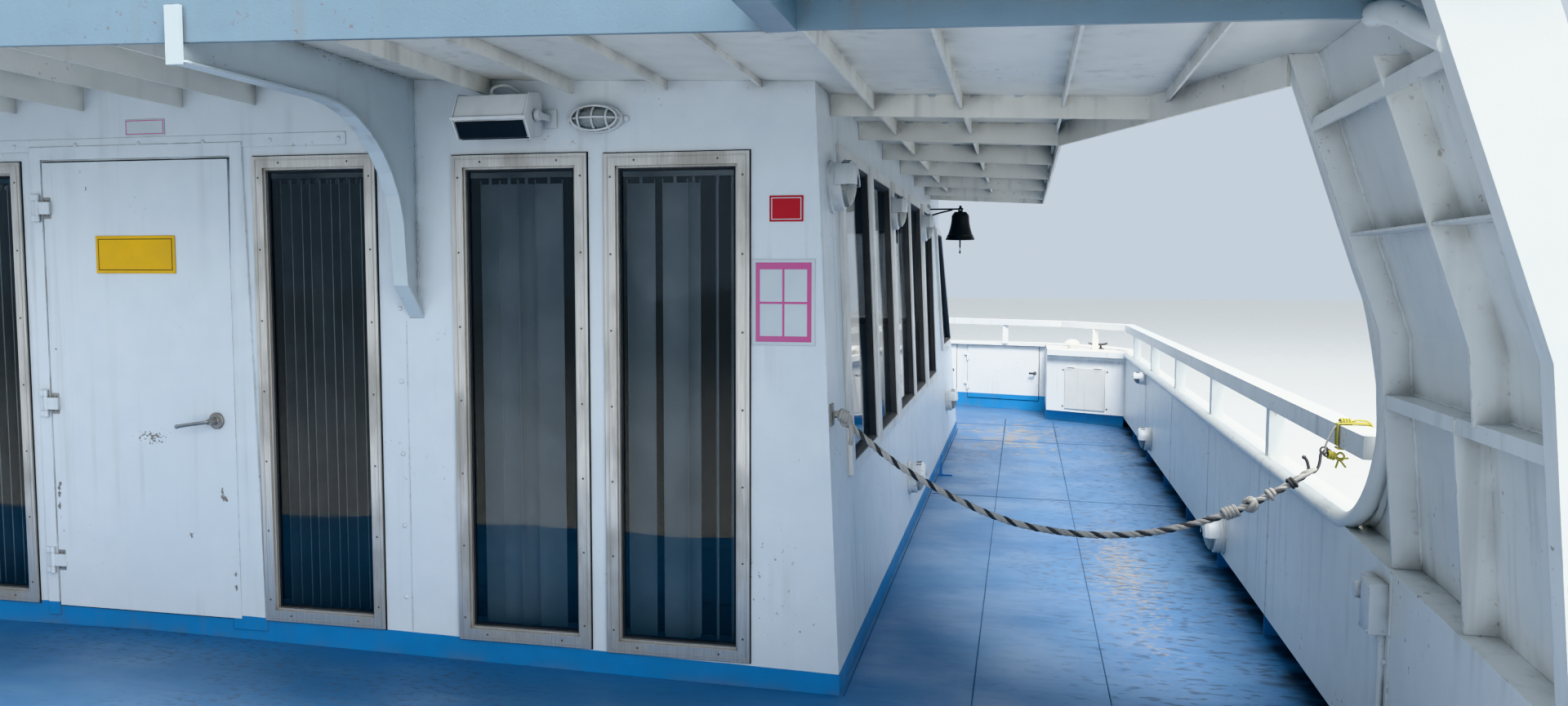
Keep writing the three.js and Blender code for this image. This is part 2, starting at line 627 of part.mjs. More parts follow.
const bowPoint = (i) => [i * bow.bay, bowAt(i * bow.bay)];
const bowEdge = (i) => [bowPoint(i), bowPoint(i + 1)];
const bowArcLine = bothHalves(bowArc(0));
const cupboardHeight = cupboard.high - cupboard.low;
const cupboardHingeHeights = [0.2, 0.75].map((share) => cupboard.low + share * cupboardHeight);
const bowBand = (inside, outside) => [
  ...parallel(bowOuter, -outside), ...parallel(bowInner, inside).reverse(),
];

const bowBulwark = () => {
  const { plate, capPlate, end } = bulwark;
  const above = crowned(deckAt, gap, 1500);
  const chest = common(alongZ(bowBand(0, 0), -100, bow.cap), above);
  const hollow = cut(
    alongZ(bowBand(plate, plate), -100, bow.cap - capPlate),
    box(-5000, 5000, end - 100, end + gap + plate, -200, 1000));
  const skirt = alongZ([...bowOuter, ...parallel(bowOuter, -plate).reverse()], section.keelLine, 120);
  const lipPlan = [...parallel(bowArcLine, 5), ...parallel(bowArcLine, -bow.lip).reverse()];
  const lip = alongZ(lipPlan, bow.cap - bow.lipDepth, bow.cap);
  const half = cupboard.halfWidth + cupboard.clear;
  const [low, high] = [cupboard.low - cupboard.clear, cupboard.high + cupboard.clear];
  const openings = cupboard.bays.flatMap((i) => onBothSides(() => (
    onEdge(box(-half, half, -40, plate + 20, low, high), ...bowEdge(i)))));
  const lugs = cupboard.bays.flatMap((i) => onBothSides(() => onEdge(join(
    ...cupboardHingeHeights.flatMap((z) => [
      cylinder(6, 'z', [-cupboard.halfWidth - 5, -cupboard.proud - 5, z + 45 + gap], 30, 8),
      box(-cupboard.halfWidth - 40, -cupboard.halfWidth - 5, -cupboard.proud - 8, 2, z + 33, z + 59),
    ])), ...bowEdge(i))));
  return join(cut(chest, hollow, ...openings), skirt, lip, ...lugs);
};

add('bow_bulwark', bowBulwark(), finish.white);

const bowRailPiece = () => {
  const line = bothHalves(bowRail.line);
  const band = [...parallel(line, bowRail.width), ...line.slice().reverse()];
  const pieces = [alongZ(band, bowRail.low, bowRail.high)];
  for (const [x, y, foot] of bowRail.posts) {
    pieces.push(...onBothSides(() => box(x - 30, x + 30, y - 25, y + 25, foot + gap, bowRail.low + 5)));
  }
  return join(...pieces);
};

add('bow_rail', bowRailPiece(), finish.white);

const cupboardDoor = (i) => {
  const { halfWidth, proud, leaf, low, high } = cupboard;
  const knuckles = cupboardHingeHeights.flatMap((z) => [
    cylinder(6, 'z', [-halfWidth - 5, -proud - 5, z], 60, 8),
    box(-halfWidth - 5, -halfWidth + 30, -proud - 4, -proud + 2, z - 28, z + 28),
  ]);
  const handle = join(
    cylinder(7, 'y', [halfWidth - 45, -proud - 20, 430], 44, 10),
    box(halfWidth - 100, halfWidth - 36, -proud - 48, -proud - 38, 422, 438));
  const slab = box(-halfWidth, halfWidth, -proud, leaf - proud, low, high);
  return onEdge(join(slab, ...knuckles, handle), ...bowEdge(i));
};

for (const i of cupboard.bays) {
  for (const [name, side] of sides) add(`bow_door_${name}_${i}`, onSide(cupboardDoor(i), side), finish.white);
}

// Corner lockers with a hinged hatch

const lockerEdge = [locker.plan[0], locker.plan[1]];

// Mushroom vent on the locker's lid
const mushroomVent = () => {
  const { x, y, neck, head, under, rise } = mushroom;
  const base = locker.top;
  return turned([
    [0, base - 4], [neck, base - 4], [neck, base + under], [head, base + under - 6],
    [head, base + under + 12], [0.75 * head, base + rise - 12], [0.3 * head, base + rise], [0, base + rise],
  ], x, y, 20);
};

const lockerPiece = () => {
  const { plan, recess, foot, face, lip, top, wall } = locker;
  const moved = (by) => plan.map(([x, y], i) => (i < 2 ? [x, y + by] : [x, y]));
  const above = crowned(deckAt, gap, 1500);
  const base = common(alongZ(moved(recess), -50, foot + 5), above);
  const body = alongZ(plan, foot, face + 40);
  const lid = alongZ(moved(-lip), face + 50, top);
  const underLip = alongZ(moved(-lip / 2), face + 15, face + 55);
  const hollow = alongZ(locker.inside, foot + wall, face);
  const { half, lap, low, high, plate, pin, axis } = hatch;
  const opening = onEdge(box(-half + lap, half - lap, -40, 60, low + lap, high - lap), ...lockerEdge);
  const pins = hatch.hinges.flatMap((x) => [
    cylinder(pin, 'x', [x + 40 + gap, -plate, axis], 30, 10),
    box(x + 32, x + 52, -plate, 2, axis - 4, axis + 4),
  ]);
  const chest = cut(join(base, body, underLip, lid), hollow, opening);
  return join(chest, onEdge(join(...pins), ...lockerEdge), mushroomVent());
};

const hatchPiece = () => {
  const { half, low, high, plate, pin, axis } = hatch;
  const slab = box(-half, half, -gap - plate, -gap, low, high);
  const knuckles = hatch.hinges.flatMap((x) => [
    cylinder(pin, 'x', [x, -plate, axis], 50, 10),
    box(x - 24, x + 24, -plate - 2, -plate + 4, high - 20, axis),
  ]);
  return onEdge(join(slab, ...knuckles), ...lockerEdge);
};

for (const [name, side] of sides) {
  add(`locker_${name}`, onSide(lockerPiece(), side), finish.white);
  add(`locker_hatch_${name}`, onSide(hatchPiece(), side), finish.white);
}

// Wing: the screen that joins the bulwark to the upper deck, with frames, stringers and a boxed column

const wingAt = (z) => {
  const { profile } = wing;
  const i = Math.min(profile.length - 2, Math.max(0, profile.findIndex(([, level]) => level >= z) - 1));
  const [[x0, z0], [x1, z1]] = [profile[i], profile[i + 1]];
  return x0 + ((x1 - x0) * (z - z0)) / (z1 - z0);
};

// Strip that follows the plating between two offsets from its inner face, from low to high
const wingStrip = (from, to, low, high) => {
  const levels = [low, ...wing.profile.map(([, z]) => z).filter((z) => z > low + 1 && z < high - 1), high];
  const inner = levels.map((z) => [wingAt(z) + from, z]);
  const outer = levels.map((z) => [wingAt(z) + to, z]).reverse();
  return [...inner, ...outer];
};

const wingEdge = () => {
  const { edge, corner, foot } = wing;
  const arc = [];
  for (let i = 0; i <= 8; i += 1) {
    const turn = (i / 8) * (Math.PI / 2);
    arc.push([edge + corner * (1 - Math.cos(turn)), bulwark.cap + corner * (1 - Math.sin(turn))]);
  }
  return [[edge, 2300], ...arc, [edge + corner, foot]];
};

// Drain pipe from the aft face of the fascia to the column
const drainPipe = () => common(
  tube(drain.route, drain.radius, 10, 12),
  box(4000, 4600, column.aft, fascia.y - fascia.plate - gap, 1900, 2300));

const wingPiece = () => {
  const { aft, plate, frame, depth, bead, edge, foot, head } = wing;
  const plating = common(
    alongY(wingStrip(0, plate, foot, head), column.aft, 300),
    alongX([...wingEdge(), [column.aft, foot], [column.aft, 2300]], 4000, 5000));
  const bars = wingFrames.map(([y, low, high]) => alongY(wingStrip(-depth, 4, low, high), y, y + frame));
  bars.push(alongY(wingStrip(-column.inboard, column.outboard, foot, head), column.aft, aft));
  for (const level of stringers.levels) {
    const inner = wingAt(level) - stringers.depth;
    const span = [aft - 5, wingFrames[0][0] + 5];
    bars.push(box(inner, wingAt(level) + 6, ...span, level, level + stringers.plate));
    if (stringers.lipped.includes(level)) {
      bars.push(box(inner, inner + stringers.plate, ...span, level - stringers.lip, level + 2));
    }
  }
  const onPlate = ([y, z]) => [wingAt(Math.max(z, 690)) - 2, y, z];
  const beadRoute = [...[2240, 1900, 1500, 1200].map((z) => [edge, z]), ...wingEdge().slice(1, -1)];
  const beadLine = tube(beadRoute.map(onPlate), bead, 8, 26);
  const floor = alongX([
    [-3000, capAt(-3000) + gap], [bulwark.dropStart, bulwark.cap + gap], [1000, bulwark.cap + gap],
    [1000, 3000], [-3000, 3000],
  ], 4000, 5000);
  return common(common(join(plating, ...bars, beadLine, drainPipe()), floor), tweenDecks);
};

for (const [name, side] of sides) add(`wing_${name}`, onSide(wingPiece(), side), finish.white);

// Floodlights and cage lights on the aft wall

const floodlight = () => join(
  alongX([[-60, 2215], [-175, 2190], [-190, 2115], [-150, 2055], [-45, 2085]], 1520, 1820),
  box(1610, 1730, -70, -gap, 2110, 2190));

const cageLight = () => common(
  new THREE.SphereGeometry(1, 20, 12).scale(105, 75, 50).translate(2035, -gap, 2140),
  box(1900, 2200, -100, -gap, 2000, 2300));

for (const [name, side] of sides) {
  add(`floodlight_${name}`, onSide(floodlight(), side), finish.white);
  add(`cage_light_${name}`, onSide(cageLight(), side), finish.galvanised);
}

// Bell on its arm, with a clapper that swings

const bellArm = () => join(
  alongY([
    [houseSideAt(2020) + gap, 2020], [bell.x - 50, bell.arm], [bell.x + 20, bell.arm],
    [bell.x + 20, bell.arm + 12], [houseSideAt(2095) + gap, 2095],
  ], bell.y - 6, bell.y + 6),
  box(houseSideAt(1990) + gap, houseSideAt(1990) + 12, bell.y - 40, bell.y + 40, 1990, 2110));

const bellShell = () => {
  const { lip, crown: top, mouth } = bell;
  return turned([
    [0, top - 34], [6, top - 34], [6, top - 22], [44, top - 22], [62, top - 52], [70, top - 120],
    [mouth - 22, lip + 24], [mouth - 10, lip], [mouth, lip], [mouth - 12, lip + 22], [78, top - 120],
    [70, top - 50], [52, top - 12], [18, top], [16, top + 14], [0, top + 14],
  ], bell.x, bell.y);
};

const clapper = () => {
  const { lip, crown: top } = bell;
  return turned([
    [0, lip - 60], [6, lip - 60], [6, lip - 4], [16, lip + 8], [16, lip + 24], [5, lip + 34],
    [5, top - 42], [1.2, top - 34 - gap], [0, top - 34 - gap],
  ], bell.x, bell.y, 12);
};

add('bell_arm', bellArm(), finish.white);
add('bell', bellShell(), finish.blackMetal);
add('bell_clapper', clapper(), finish.blackMetal);

// Rope across the side passage, from an eye on the house to a hook on the rail

add('passage_rope', tube(ropeRoute, ropeRadius, 8, 60), finish.rope);

const ropeEye = () => join(
  alongY([
    [houseSideAt(1000) + gap, 1000], [houseSideAt(1000) + 6, 1000],
    [houseSideAt(1080) + 6, 1080], [houseSideAt(1080) + gap, 1080],
  ], 32, 92),
  box(houseSideAt(1040) + 2, houseSideAt(1040) + 14, 56, 68, 1028, 1052));

// Hook on a lashing that goes once round the rail
const ropeHook = () => {
  const { inner, outer, low, high } = rail;
  const lashing = cut(
    box(inner - 7, outer + 7, 95, 125, low - 7, high + 7),
    box(inner - gap, outer + gap, 90, 130, low - gap, high + gap));
  const [x, y, z] = ropeRoute[ropeRoute.length - 1];
  return join(lashing, tube([
    [x + gap, y, z + gap], [x + 23.6, y, z + 19.1], [x + 54, y, z + 54], [inner - 2, y, low - 4],
  ], 6, 8, 8));
};

add('rope_eye', ropeEye(), finish.galvanised);
add('rope_hook', ropeHook(), finish.galvanised);

ferry.position.set(0, -(section.aft + section.bow) / 2, -section.keelLine);
const root = new THREE.Group();
root.add(ferry);

export default root;
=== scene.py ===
"""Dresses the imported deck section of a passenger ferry: weathered paint, glass, rope and fittings.

Sizes are metres in the ship's frame: x = 0 on the centreline and positive to starboard, y = 0 on the
aft wall of the deckhouse and positive towards the bow, z = 0 on the side deck beside the house.
"""

from __future__ import annotations

import logging
import math
import random
from collections.abc import Callable, Iterable, Sequence
from dataclasses import dataclass
from enum import Enum

import bmesh
import bpy
from mathutils import Matrix, Vector


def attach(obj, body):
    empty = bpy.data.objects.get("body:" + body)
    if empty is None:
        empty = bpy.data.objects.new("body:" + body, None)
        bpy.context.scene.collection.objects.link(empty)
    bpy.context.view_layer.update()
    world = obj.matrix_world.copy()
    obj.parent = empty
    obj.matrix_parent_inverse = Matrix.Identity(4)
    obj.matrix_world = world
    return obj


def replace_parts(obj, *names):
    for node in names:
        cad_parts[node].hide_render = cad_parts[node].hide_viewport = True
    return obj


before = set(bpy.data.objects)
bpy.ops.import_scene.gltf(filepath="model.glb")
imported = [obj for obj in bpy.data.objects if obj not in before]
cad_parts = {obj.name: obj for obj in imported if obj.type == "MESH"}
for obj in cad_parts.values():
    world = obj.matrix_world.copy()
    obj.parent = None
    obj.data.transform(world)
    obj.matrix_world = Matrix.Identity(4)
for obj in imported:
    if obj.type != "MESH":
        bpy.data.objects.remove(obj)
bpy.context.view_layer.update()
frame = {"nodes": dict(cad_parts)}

LOG = logging.getLogger("ferry")
SHIP_TO_ROW = Matrix.Translation((0.0, -3.95, 0.16))
DECK_LEVEL = 0.16
SMOOTH_BELOW = math.radians(38)

Colour = tuple[float, float, float]
Point = tuple[float, float, float]
Flat = tuple[float, float]
Mesh = bmesh.types.BMesh


class Side(Enum):
    """The two sides of the ship; pieces are drawn to starboard."""

    STARBOARD = 1
    PORT = -1

    @property
    def word(self) -> str:
        """The side's name as it stands in the names of nodes."""
        return self.name.lower()


# Shader trees


class Tree:
    """Places nodes in a node tree and joins their sockets."""

    def __init__(self, tree: bpy.types.NodeTree) -> None:
        """Takes the tree to draw in.

        Args:
            tree: a material's, world's or group's node tree.
        """
        self.nodes, self.links = tree.nodes, tree.links

    def feed(self, socket: bpy.types.NodeSocket, value: object) -> None:
        """Links or sets one input.

        Args:
            socket: the input.
            value: a socket to link from, or a plain value.
        """
        if isinstance(value, bpy.types.NodeSocket):
            self.links.new(value, socket)
        elif isinstance(value, tuple) and socket.type == "RGBA":
            socket.default_value = (*value[:3], 1.0)
        else:
            socket.default_value = value

    def put(self, kind: str, *values: object, settings: dict | None = None, **named: object) -> bpy.types.Node:
        """Adds a shader node.

        Args:
            kind: the node type after ShaderNode.
            values: inputs in their order.
            settings: the node's own properties.
            named: inputs by name, with _ for a space.

        Returns:
            The node.
        """
        node = self.nodes.new("ShaderNode" + kind)
        for key, value in (settings or {}).items():
            setattr(node, key, value)
        for index, value in enumerate(values):
            self.feed(node.inputs[index], value)
        for key, value in named.items():
            self.feed(node.inputs[key.replace("_", " ")], value)
        return node

    def math(self, operation: str, *values: object) -> bpy.types.NodeSocket:
        """The result of a Math node on the values."""
        return self.put("Math", *values, settings={"operation": operation}).outputs[0]

    def mix(self, share: object, first: object, second: object) -> bpy.types.NodeSocket:
        """Blends two colours.

        Args:
            share: how much of the second, from 0 to 1.
            first: a colour or its socket.
            second: a colour or its socket.

        Returns:
            The blended colour.
        """
        node = self.put("Mix", settings={"data_type": "RGBA"})
        for index, value in ((0, share), (6, first), (7, second)):
            self.feed(node.inputs[index], value)
        return node.outputs[2]

    def span(self, value: object, low: float, high: float, start: float = 0.0, end: float = 1.0) -> bpy.types.NodeSocket:
        """Maps low..high smoothly to start..end, and holds beyond them."""
        kind = {"interpolation_type": "SMOOTHSTEP"}
        return self.put("MapRange", value, low, high, start, end, settings=kind).outputs[0]

    def noise(self, scale: float, detail: float = 4.0, stretch: Point = (1.0, 1.0, 1.0), shift: float = 0.0) -> bpy.types.NodeSocket:
        """Cloudy noise in the piece's own coordinates.

        Args:
            scale: how fine it is, in cells a metre.
            detail: how many finer layers it has.
            stretch: how much finer it is along each axis.
            shift: moves the pattern.

        Returns:
            The noise, from 0 to 1.
        """
        place = self.put("TexCoord").outputs["Object"]
        spread = self.put("Mapping", Vector=place, Scale=stretch, Location=(shift, shift, shift)).outputs[0]
        return self.put("TexNoise", Vector=spread, Scale=scale, Detail=detail).outputs[0]

    def effect(self, effect: "Effect", **named: object) -> bpy.types.NodeSocket:
        """Places an effect's group.

        Args:
            effect: which group.
            named: its inputs, with _ for a space.

        Returns:
            The group node's outputs.
        """
        node = self.put("Group", settings={"node_tree": effect.group()})
        for key, value in named.items():
            self.feed(node.inputs[key.replace("_", " ")], value)
        return node.outputs


class Effect:
    """A surface effect that several finishes share, as a node group that is built once."""

    name = "effect"
    inputs: dict[str, str] = {}
    outputs: dict[str, str] = {}

    def group(self) -> bpy.types.NodeTree:
        """Builds the group, or finds it.

        Returns:
            The node group.
        """
        if self.name in bpy.data.node_groups:
            return bpy.data.node_groups[self.name]
        tree = bpy.data.node_groups.new(self.name, "ShaderNodeTree")
        for way, sockets in (("INPUT", self.inputs), ("OUTPUT", self.outputs)):
            for label, kind in sockets.items():
                tree.interface.new_socket(label, in_out=way, socket_type="NodeSocket" + kind)
        draw = Tree(tree)
        given = tree.nodes.new("NodeGroupInput").outputs
        result = tree.nodes.new("NodeGroupOutput").inputs
        for label, value in self.draw(draw, given).items():
            draw.feed(result[label], value)
        return tree

    def draw(self, tree: Tree, given: bpy.types.NodeInputs) -> dict[str, bpy.types.NodeSocket]:
        """Draws the inside of the group.

        Args:
            tree: where to draw.
            given: the group's inputs.

        Returns:
            A socket for each output.
        """
        raise NotImplementedError


class WeatheredCoat(Effect):
    """Old marine paint: cloudy tone, runs of dirt, darkening in corners that is partly grime and partly painted shade,
    and specks of rust.
    """

    name = "weathered_coat"
    inputs = {
        "Tone": "Color", "Shade": "Color", "Dirt": "Color", "Cloud": "Float", "Runs": "Float",
        "Grime": "Float", "Rust": "Float", "Gloss": "Float",
    }
    outputs = {"Colour": "Color", "Roughness": "Float", "Height": "Float"}

    def draw(self, tree: Tree, given: bpy.types.NodeInputs) -> dict[str, bpy.types.NodeSocket]:
        """Draws the paint's colour, roughness and height.

        Args:
            tree: where to draw.
            given: tones and amounts.

        Returns:
            Colour, Roughness and Height.
        """
        broad, fine = tree.noise(0.75, 5.0), tree.noise(9.0, 5.0, shift=3.0)
        cloud = tree.math("MULTIPLY", tree.span(tree.math("MULTIPLY_ADD", fine, 0.35, broad), 0.5, 0.86), given["Cloud"])
        colour = tree.mix(cloud, given["Tone"], given["Shade"])
        running = tree.span(tree.noise(1.0, 6.0, (17.0, 17.0, 0.55)), 0.5, 0.74)
        patchy = tree.span(tree.noise(1.3, 3.0, shift=7.0), 0.42, 0.66)
        runs = tree.math("MULTIPLY", tree.math("MULTIPLY", running, patchy), given["Runs"])
        colour = tree.mix(runs, colour, given["Dirt"])
        # Painted shade: ambient occlusion darkens corners and recesses towards the dirt colour, broken by noise; partly
        # grime, partly the shade that falls there.
        nearness = tree.put("AmbientOcclusion", Distance=0.07, settings={"samples": 4}).outputs["AO"]
        hidden = tree.span(nearness, 0.35, 0.92, 1.0, 0.0)
        corner = tree.math("MULTIPLY", hidden, tree.span(tree.noise(5.0, 5.0, shift=11.0), 0.34, 0.66))
        corner = tree.math("MULTIPLY", corner, given["Grime"])
        colour = tree.mix(corner, colour, given["Dirt"])
        spots = tree.span(tree.noise(46.0, 2.0, shift=5.0), 0.66, 0.73)
        zone = tree.span(tree.noise(1.9, 3.0, shift=17.0), 0.54, 0.64)
        near_edge = tree.math("MAXIMUM", zone, tree.math("MULTIPLY", hidden, 0.8))
        rust = tree.math("MULTIPLY", tree.math("MULTIPLY", spots, near_edge), given["Rust"])
        colour = tree.mix(rust, colour, (0.2, 0.075, 0.03))
        rough = tree.math("MULTIPLY_ADD", tree.math("SUBTRACT", fine, 0.5), 0.22, given["Gloss"])
        rough = tree.math("MULTIPLY_ADD", tree.math("ADD", corner, rust), 0.3, rough)
        dents = tree.noise(2.6, 2.0, shift=23.0)
        skin = tree.math("MULTIPLY", tree.noise(150.0, 2.0), 0.05)
        height = tree.math("ADD", tree.math("MULTIPLY_ADD", dents, 0.9, skin), tree.math("MULTIPLY", spots, -0.03))
        return {"Colour": colour, "Roughness": rough, "Height": height}


class ChippedEdge(Effect):
    """Rounds an edge in the shading and marks where its paint has gone."""

    name = "chipped_edge"
    inputs = {"Radius": "Float", "Amount": "Float"}
    outputs = {"Normal": "Vector", "Bare": "Float"}

    def draw(self, tree: Tree, given: bpy.types.NodeInputs) -> dict[str, bpy.types.NodeSocket]:
        """Draws the soft normal and the mask.

        Args:
            tree: where to draw.
            given: Radius in metres, and Amount from 0 to 1.

        Returns:
            Normal and Bare.
        """
        soft = tree.put("Bevel", Radius=given["Radius"], settings={"samples": 4}).outputs[0]
        true = tree.put("NewGeometry").outputs["Normal"]
        along = tree.put("VectorMath", soft, true, settings={"operation": "DOT_PRODUCT"}).outputs["Value"]
        edge = tree.span(along, 0.86, 0.985, 1.0, 0.0)
        broken = tree.span(tree.noise(26.0, 5.0, shift=2.0), 0.55, 0.63)
        bare = tree.math("MULTIPLY", tree.math("MULTIPLY", edge, broken), given["Amount"])
        return {"Normal": soft, "Bare": bare}


class Below(Effect):
    """Marks what lies below a painted line that falls away from the centreline."""

    name = "below_line"
    inputs = {"Level": "Float", "Fall": "Float"}
    outputs = {"Mask": "Float"}

    def draw(self, tree: Tree, given: bpy.types.NodeInputs) -> dict[str, bpy.types.NodeSocket]:
        """Draws the mask.

        Args:
            tree: where to draw.
            given: Level over the side deck at the centreline, and Fall a metre outwards.

        Returns:
            Mask, 1 below the line.
        """
        place = tree.put("SeparateXYZ", tree.put("TexCoord").outputs["Object"]).outputs
        out = tree.math("ABSOLUTE", place[0])
        height = tree.math("MULTIPLY_ADD", out, given["Fall"], tree.math("SUBTRACT", place[2], DECK_LEVEL))
        wavering = tree.math("MULTIPLY_ADD", tree.noise(7.0, 2.0), 0.004, tree.math("ADD", given["Level"], -0.002))
        over = tree.math("SUBTRACT", height, wavering)
        return {"Mask": tree.span(over, -0.0012, 0.0012, 1.0, 0.0)}


class WornPatch(Effect):
    """Marks the ragged flakes that have come off round a point."""

    name = "worn_patch"
    inputs = {"Centre": "Vector", "Reach": "Vector", "Stretch": "Vector", "Grain": "Float"}
    outputs = {"Mask": "Float"}

    def draw(self, tree: Tree, given: bpy.types.NodeInputs) -> dict[str, bpy.types.NodeSocket]:
        """Draws the mask.

        Args:
            tree: where to draw.
            given: Centre and Reach in metres, Stretch along each axis, and Grain in flakes a metre.

        Returns:
            Mask, 1 where the paint has gone.
        """
        place = tree.put("TexCoord").outputs["Object"]
        away = tree.put("VectorMath", place, given["Centre"], settings={"operation": "SUBTRACT"}).outputs[0]
        share = tree.put("VectorMath", away, given["Reach"], settings={"operation": "DIVIDE"}).outputs[0]
        far = tree.put("VectorMath", share, settings={"operation": "LENGTH"}).outputs["Value"]
        flakes = tree.noise(given["Grain"], 7.0, given["Stretch"], 4.0)
        left = tree.math("MULTIPLY_ADD", far, -0.28, flakes)
        return {"Mask": tree.span(left, 0.44, 0.49)}


# Finishes


@dataclass(frozen=True)
class Finish:
    """What a surface is made of, as a material that is built once."""

    name: str
    relief: float = 0.25

    def material(self) -> bpy.types.Material:
        """Builds the material, or finds it.

        Returns:
            The material.
        """
        label = f"finish_{self.name}"
        if label in bpy.data.materials:
            return bpy.data.materials[label]
        made = bpy.data.materials.new(label)
        made.use_nodes = True
        made.node_tree.nodes.clear()
        tree = Tree(made.node_tree)
        shader = tree.put("BsdfPrincipled")
        tree.put("OutputMaterial", shader.outputs[0])
        self.draw(tree, shader)
        return made

    def draw(self, tree: Tree, shader: bpy.types.Node) -> None:
        """Draws what feeds the shader.

        Args:
            tree: the material's tree.
            shader: its Principled BSDF.
        """
        raise NotImplementedError

    def raise_surface(self, tree: Tree, shader: bpy.types.Node, height: object, normal: object = None) -> None:
        """Feeds a bump to the shader's normal.

        Args:
            tree: the material's tree.
            shader: its Principled BSDF.
            height: the surface's height.
            normal: the normal that it starts from.
        """
        bump = tree.put("Bump", Strength=self.relief, Distance=0.02, Height=height)
        if normal is not None:
            tree.feed(bump.inputs["Normal"], normal)
        tree.feed(shader.inputs["Normal"], bump.outputs[0])


@dataclass(frozen=True)
class Patch:
    """Where paint has flaked off, in the ship's frame."""

    centre: Point
    reach: Point
    grain: float = 30.0
    stretch: Point = (1.0, 1.0, 1.0)

    def mask(self, tree: Tree) -> bpy.types.NodeSocket:
        """Draws the patch in a material's tree and gives its mask."""
        centre = tuple(SHIP_TO_ROW @ Vector(self.centre))
        return tree.effect(
            WornPatch(), Centre=centre, Reach=self.reach, Stretch=self.stretch, Grain=self.grain)["Mask"]


@dataclass(frozen=True)
class Paint(Finish):
    """Marine paint on steel, with a second colour below a painted line where it has one; on the upper deck, a dark tone
    aft of the fascia line that paints the fascia's shade, and a grey-blue top.
    """

    tone: Colour = (0.66, 0.715, 0.77)
    shade: Colour = (0.55, 0.615, 0.68)
    # Colour of the runs of dirt and of the corner darkening, which is partly painted shade.
    dirt: Colour = (0.23, 0.225, 0.21)
    cloud: float = 0.7
    runs: float = 0.34
    # How strongly corners darken: grime and painted shade.
    grime: float = 0.6
    rust: float = 0.55
    gloss: float = 0.36
    chips: float = 0.75
    edge: float = 0.003
    base: Colour | None = None
    level: float = 0.0
    fall: float = 0.0
    # Dark tone for faces aft of fascia_from: painted shade on the fascia.
    fascia_shade: Colour | None = None
    fascia_shade_from: float = -1.196
    roof: float = 2.39
    bared: Colour = (0.2, 0.17, 0.15)
    patches: tuple[Patch, ...] = ()

    def draw(self, tree: Tree, shader: bpy.types.Node) -> None:
        """Draws the weathered coat over its base band, and what has come off it.

        Args:
            tree: the material's tree.
            shader: its Principled BSDF.
        """
        tone: object = self.tone
        shade: object = self.shade
        if self.base is not None:
            mask = tree.effect(Below(), Level=self.level, Fall=self.fall)["Mask"]
            tone = tree.mix(mask, self.tone, self.base)
            shade = tree.mix(mask, self.shade, tuple(0.72 * part for part in self.base))
        # Painted shade: faces aft of fascia_from take a dark blue-grey tone that stands for the shade on the fascia;
        # faces above the roof line take a grey-blue deck paint.
        if self.fascia_shade is not None:
            along = tree.put("SeparateXYZ", tree.put("TexCoord").outputs["Object"]).outputs[1]
            aft = tree.math("LESS_THAN", along, self.fascia_shade_from + SHIP_TO_ROW.translation.y)
            tone = tree.mix(aft, self.tone, self.fascia_shade)
            shade = tree.mix(aft, self.shade, tuple(0.85 * part for part in self.fascia_shade))
            place = tree.put("SeparateXYZ", tree.put("TexCoord").outputs["Object"]).outputs
            crown = tree.math("MULTIPLY_ADD", tree.math("ABSOLUTE", place[0]), 0.0375, place[2])
            over = tree.math("GREATER_THAN", crown, self.roof + SHIP_TO_ROW.translation.z)
            tone = tree.mix(over, tone, (0.4, 0.44, 0.46))
            shade = tree.mix(over, shade, (0.3, 0.34, 0.36))
        coat = tree.effect(
            WeatheredCoat(), Tone=tone, Shade=shade, Dirt=self.dirt, Cloud=self.cloud, Runs=self.runs,
            Grime=self.grime, Rust=self.rust, Gloss=self.gloss)
        edge = tree.effect(ChippedEdge(), Radius=self.edge, Amount=self.chips)
        colour = tree.mix(edge["Bare"], coat["Colour"], self.bared)
        for patch in self.patches:
            colour = tree.mix(patch.mask(tree), colour, self.bared)
        tree.feed(shader.inputs["Base Color"], colour)
        tree.feed(shader.inputs["Roughness"], coat["Roughness"])
        self.raise_surface(tree, shader, coat["Height"], edge["Normal"])


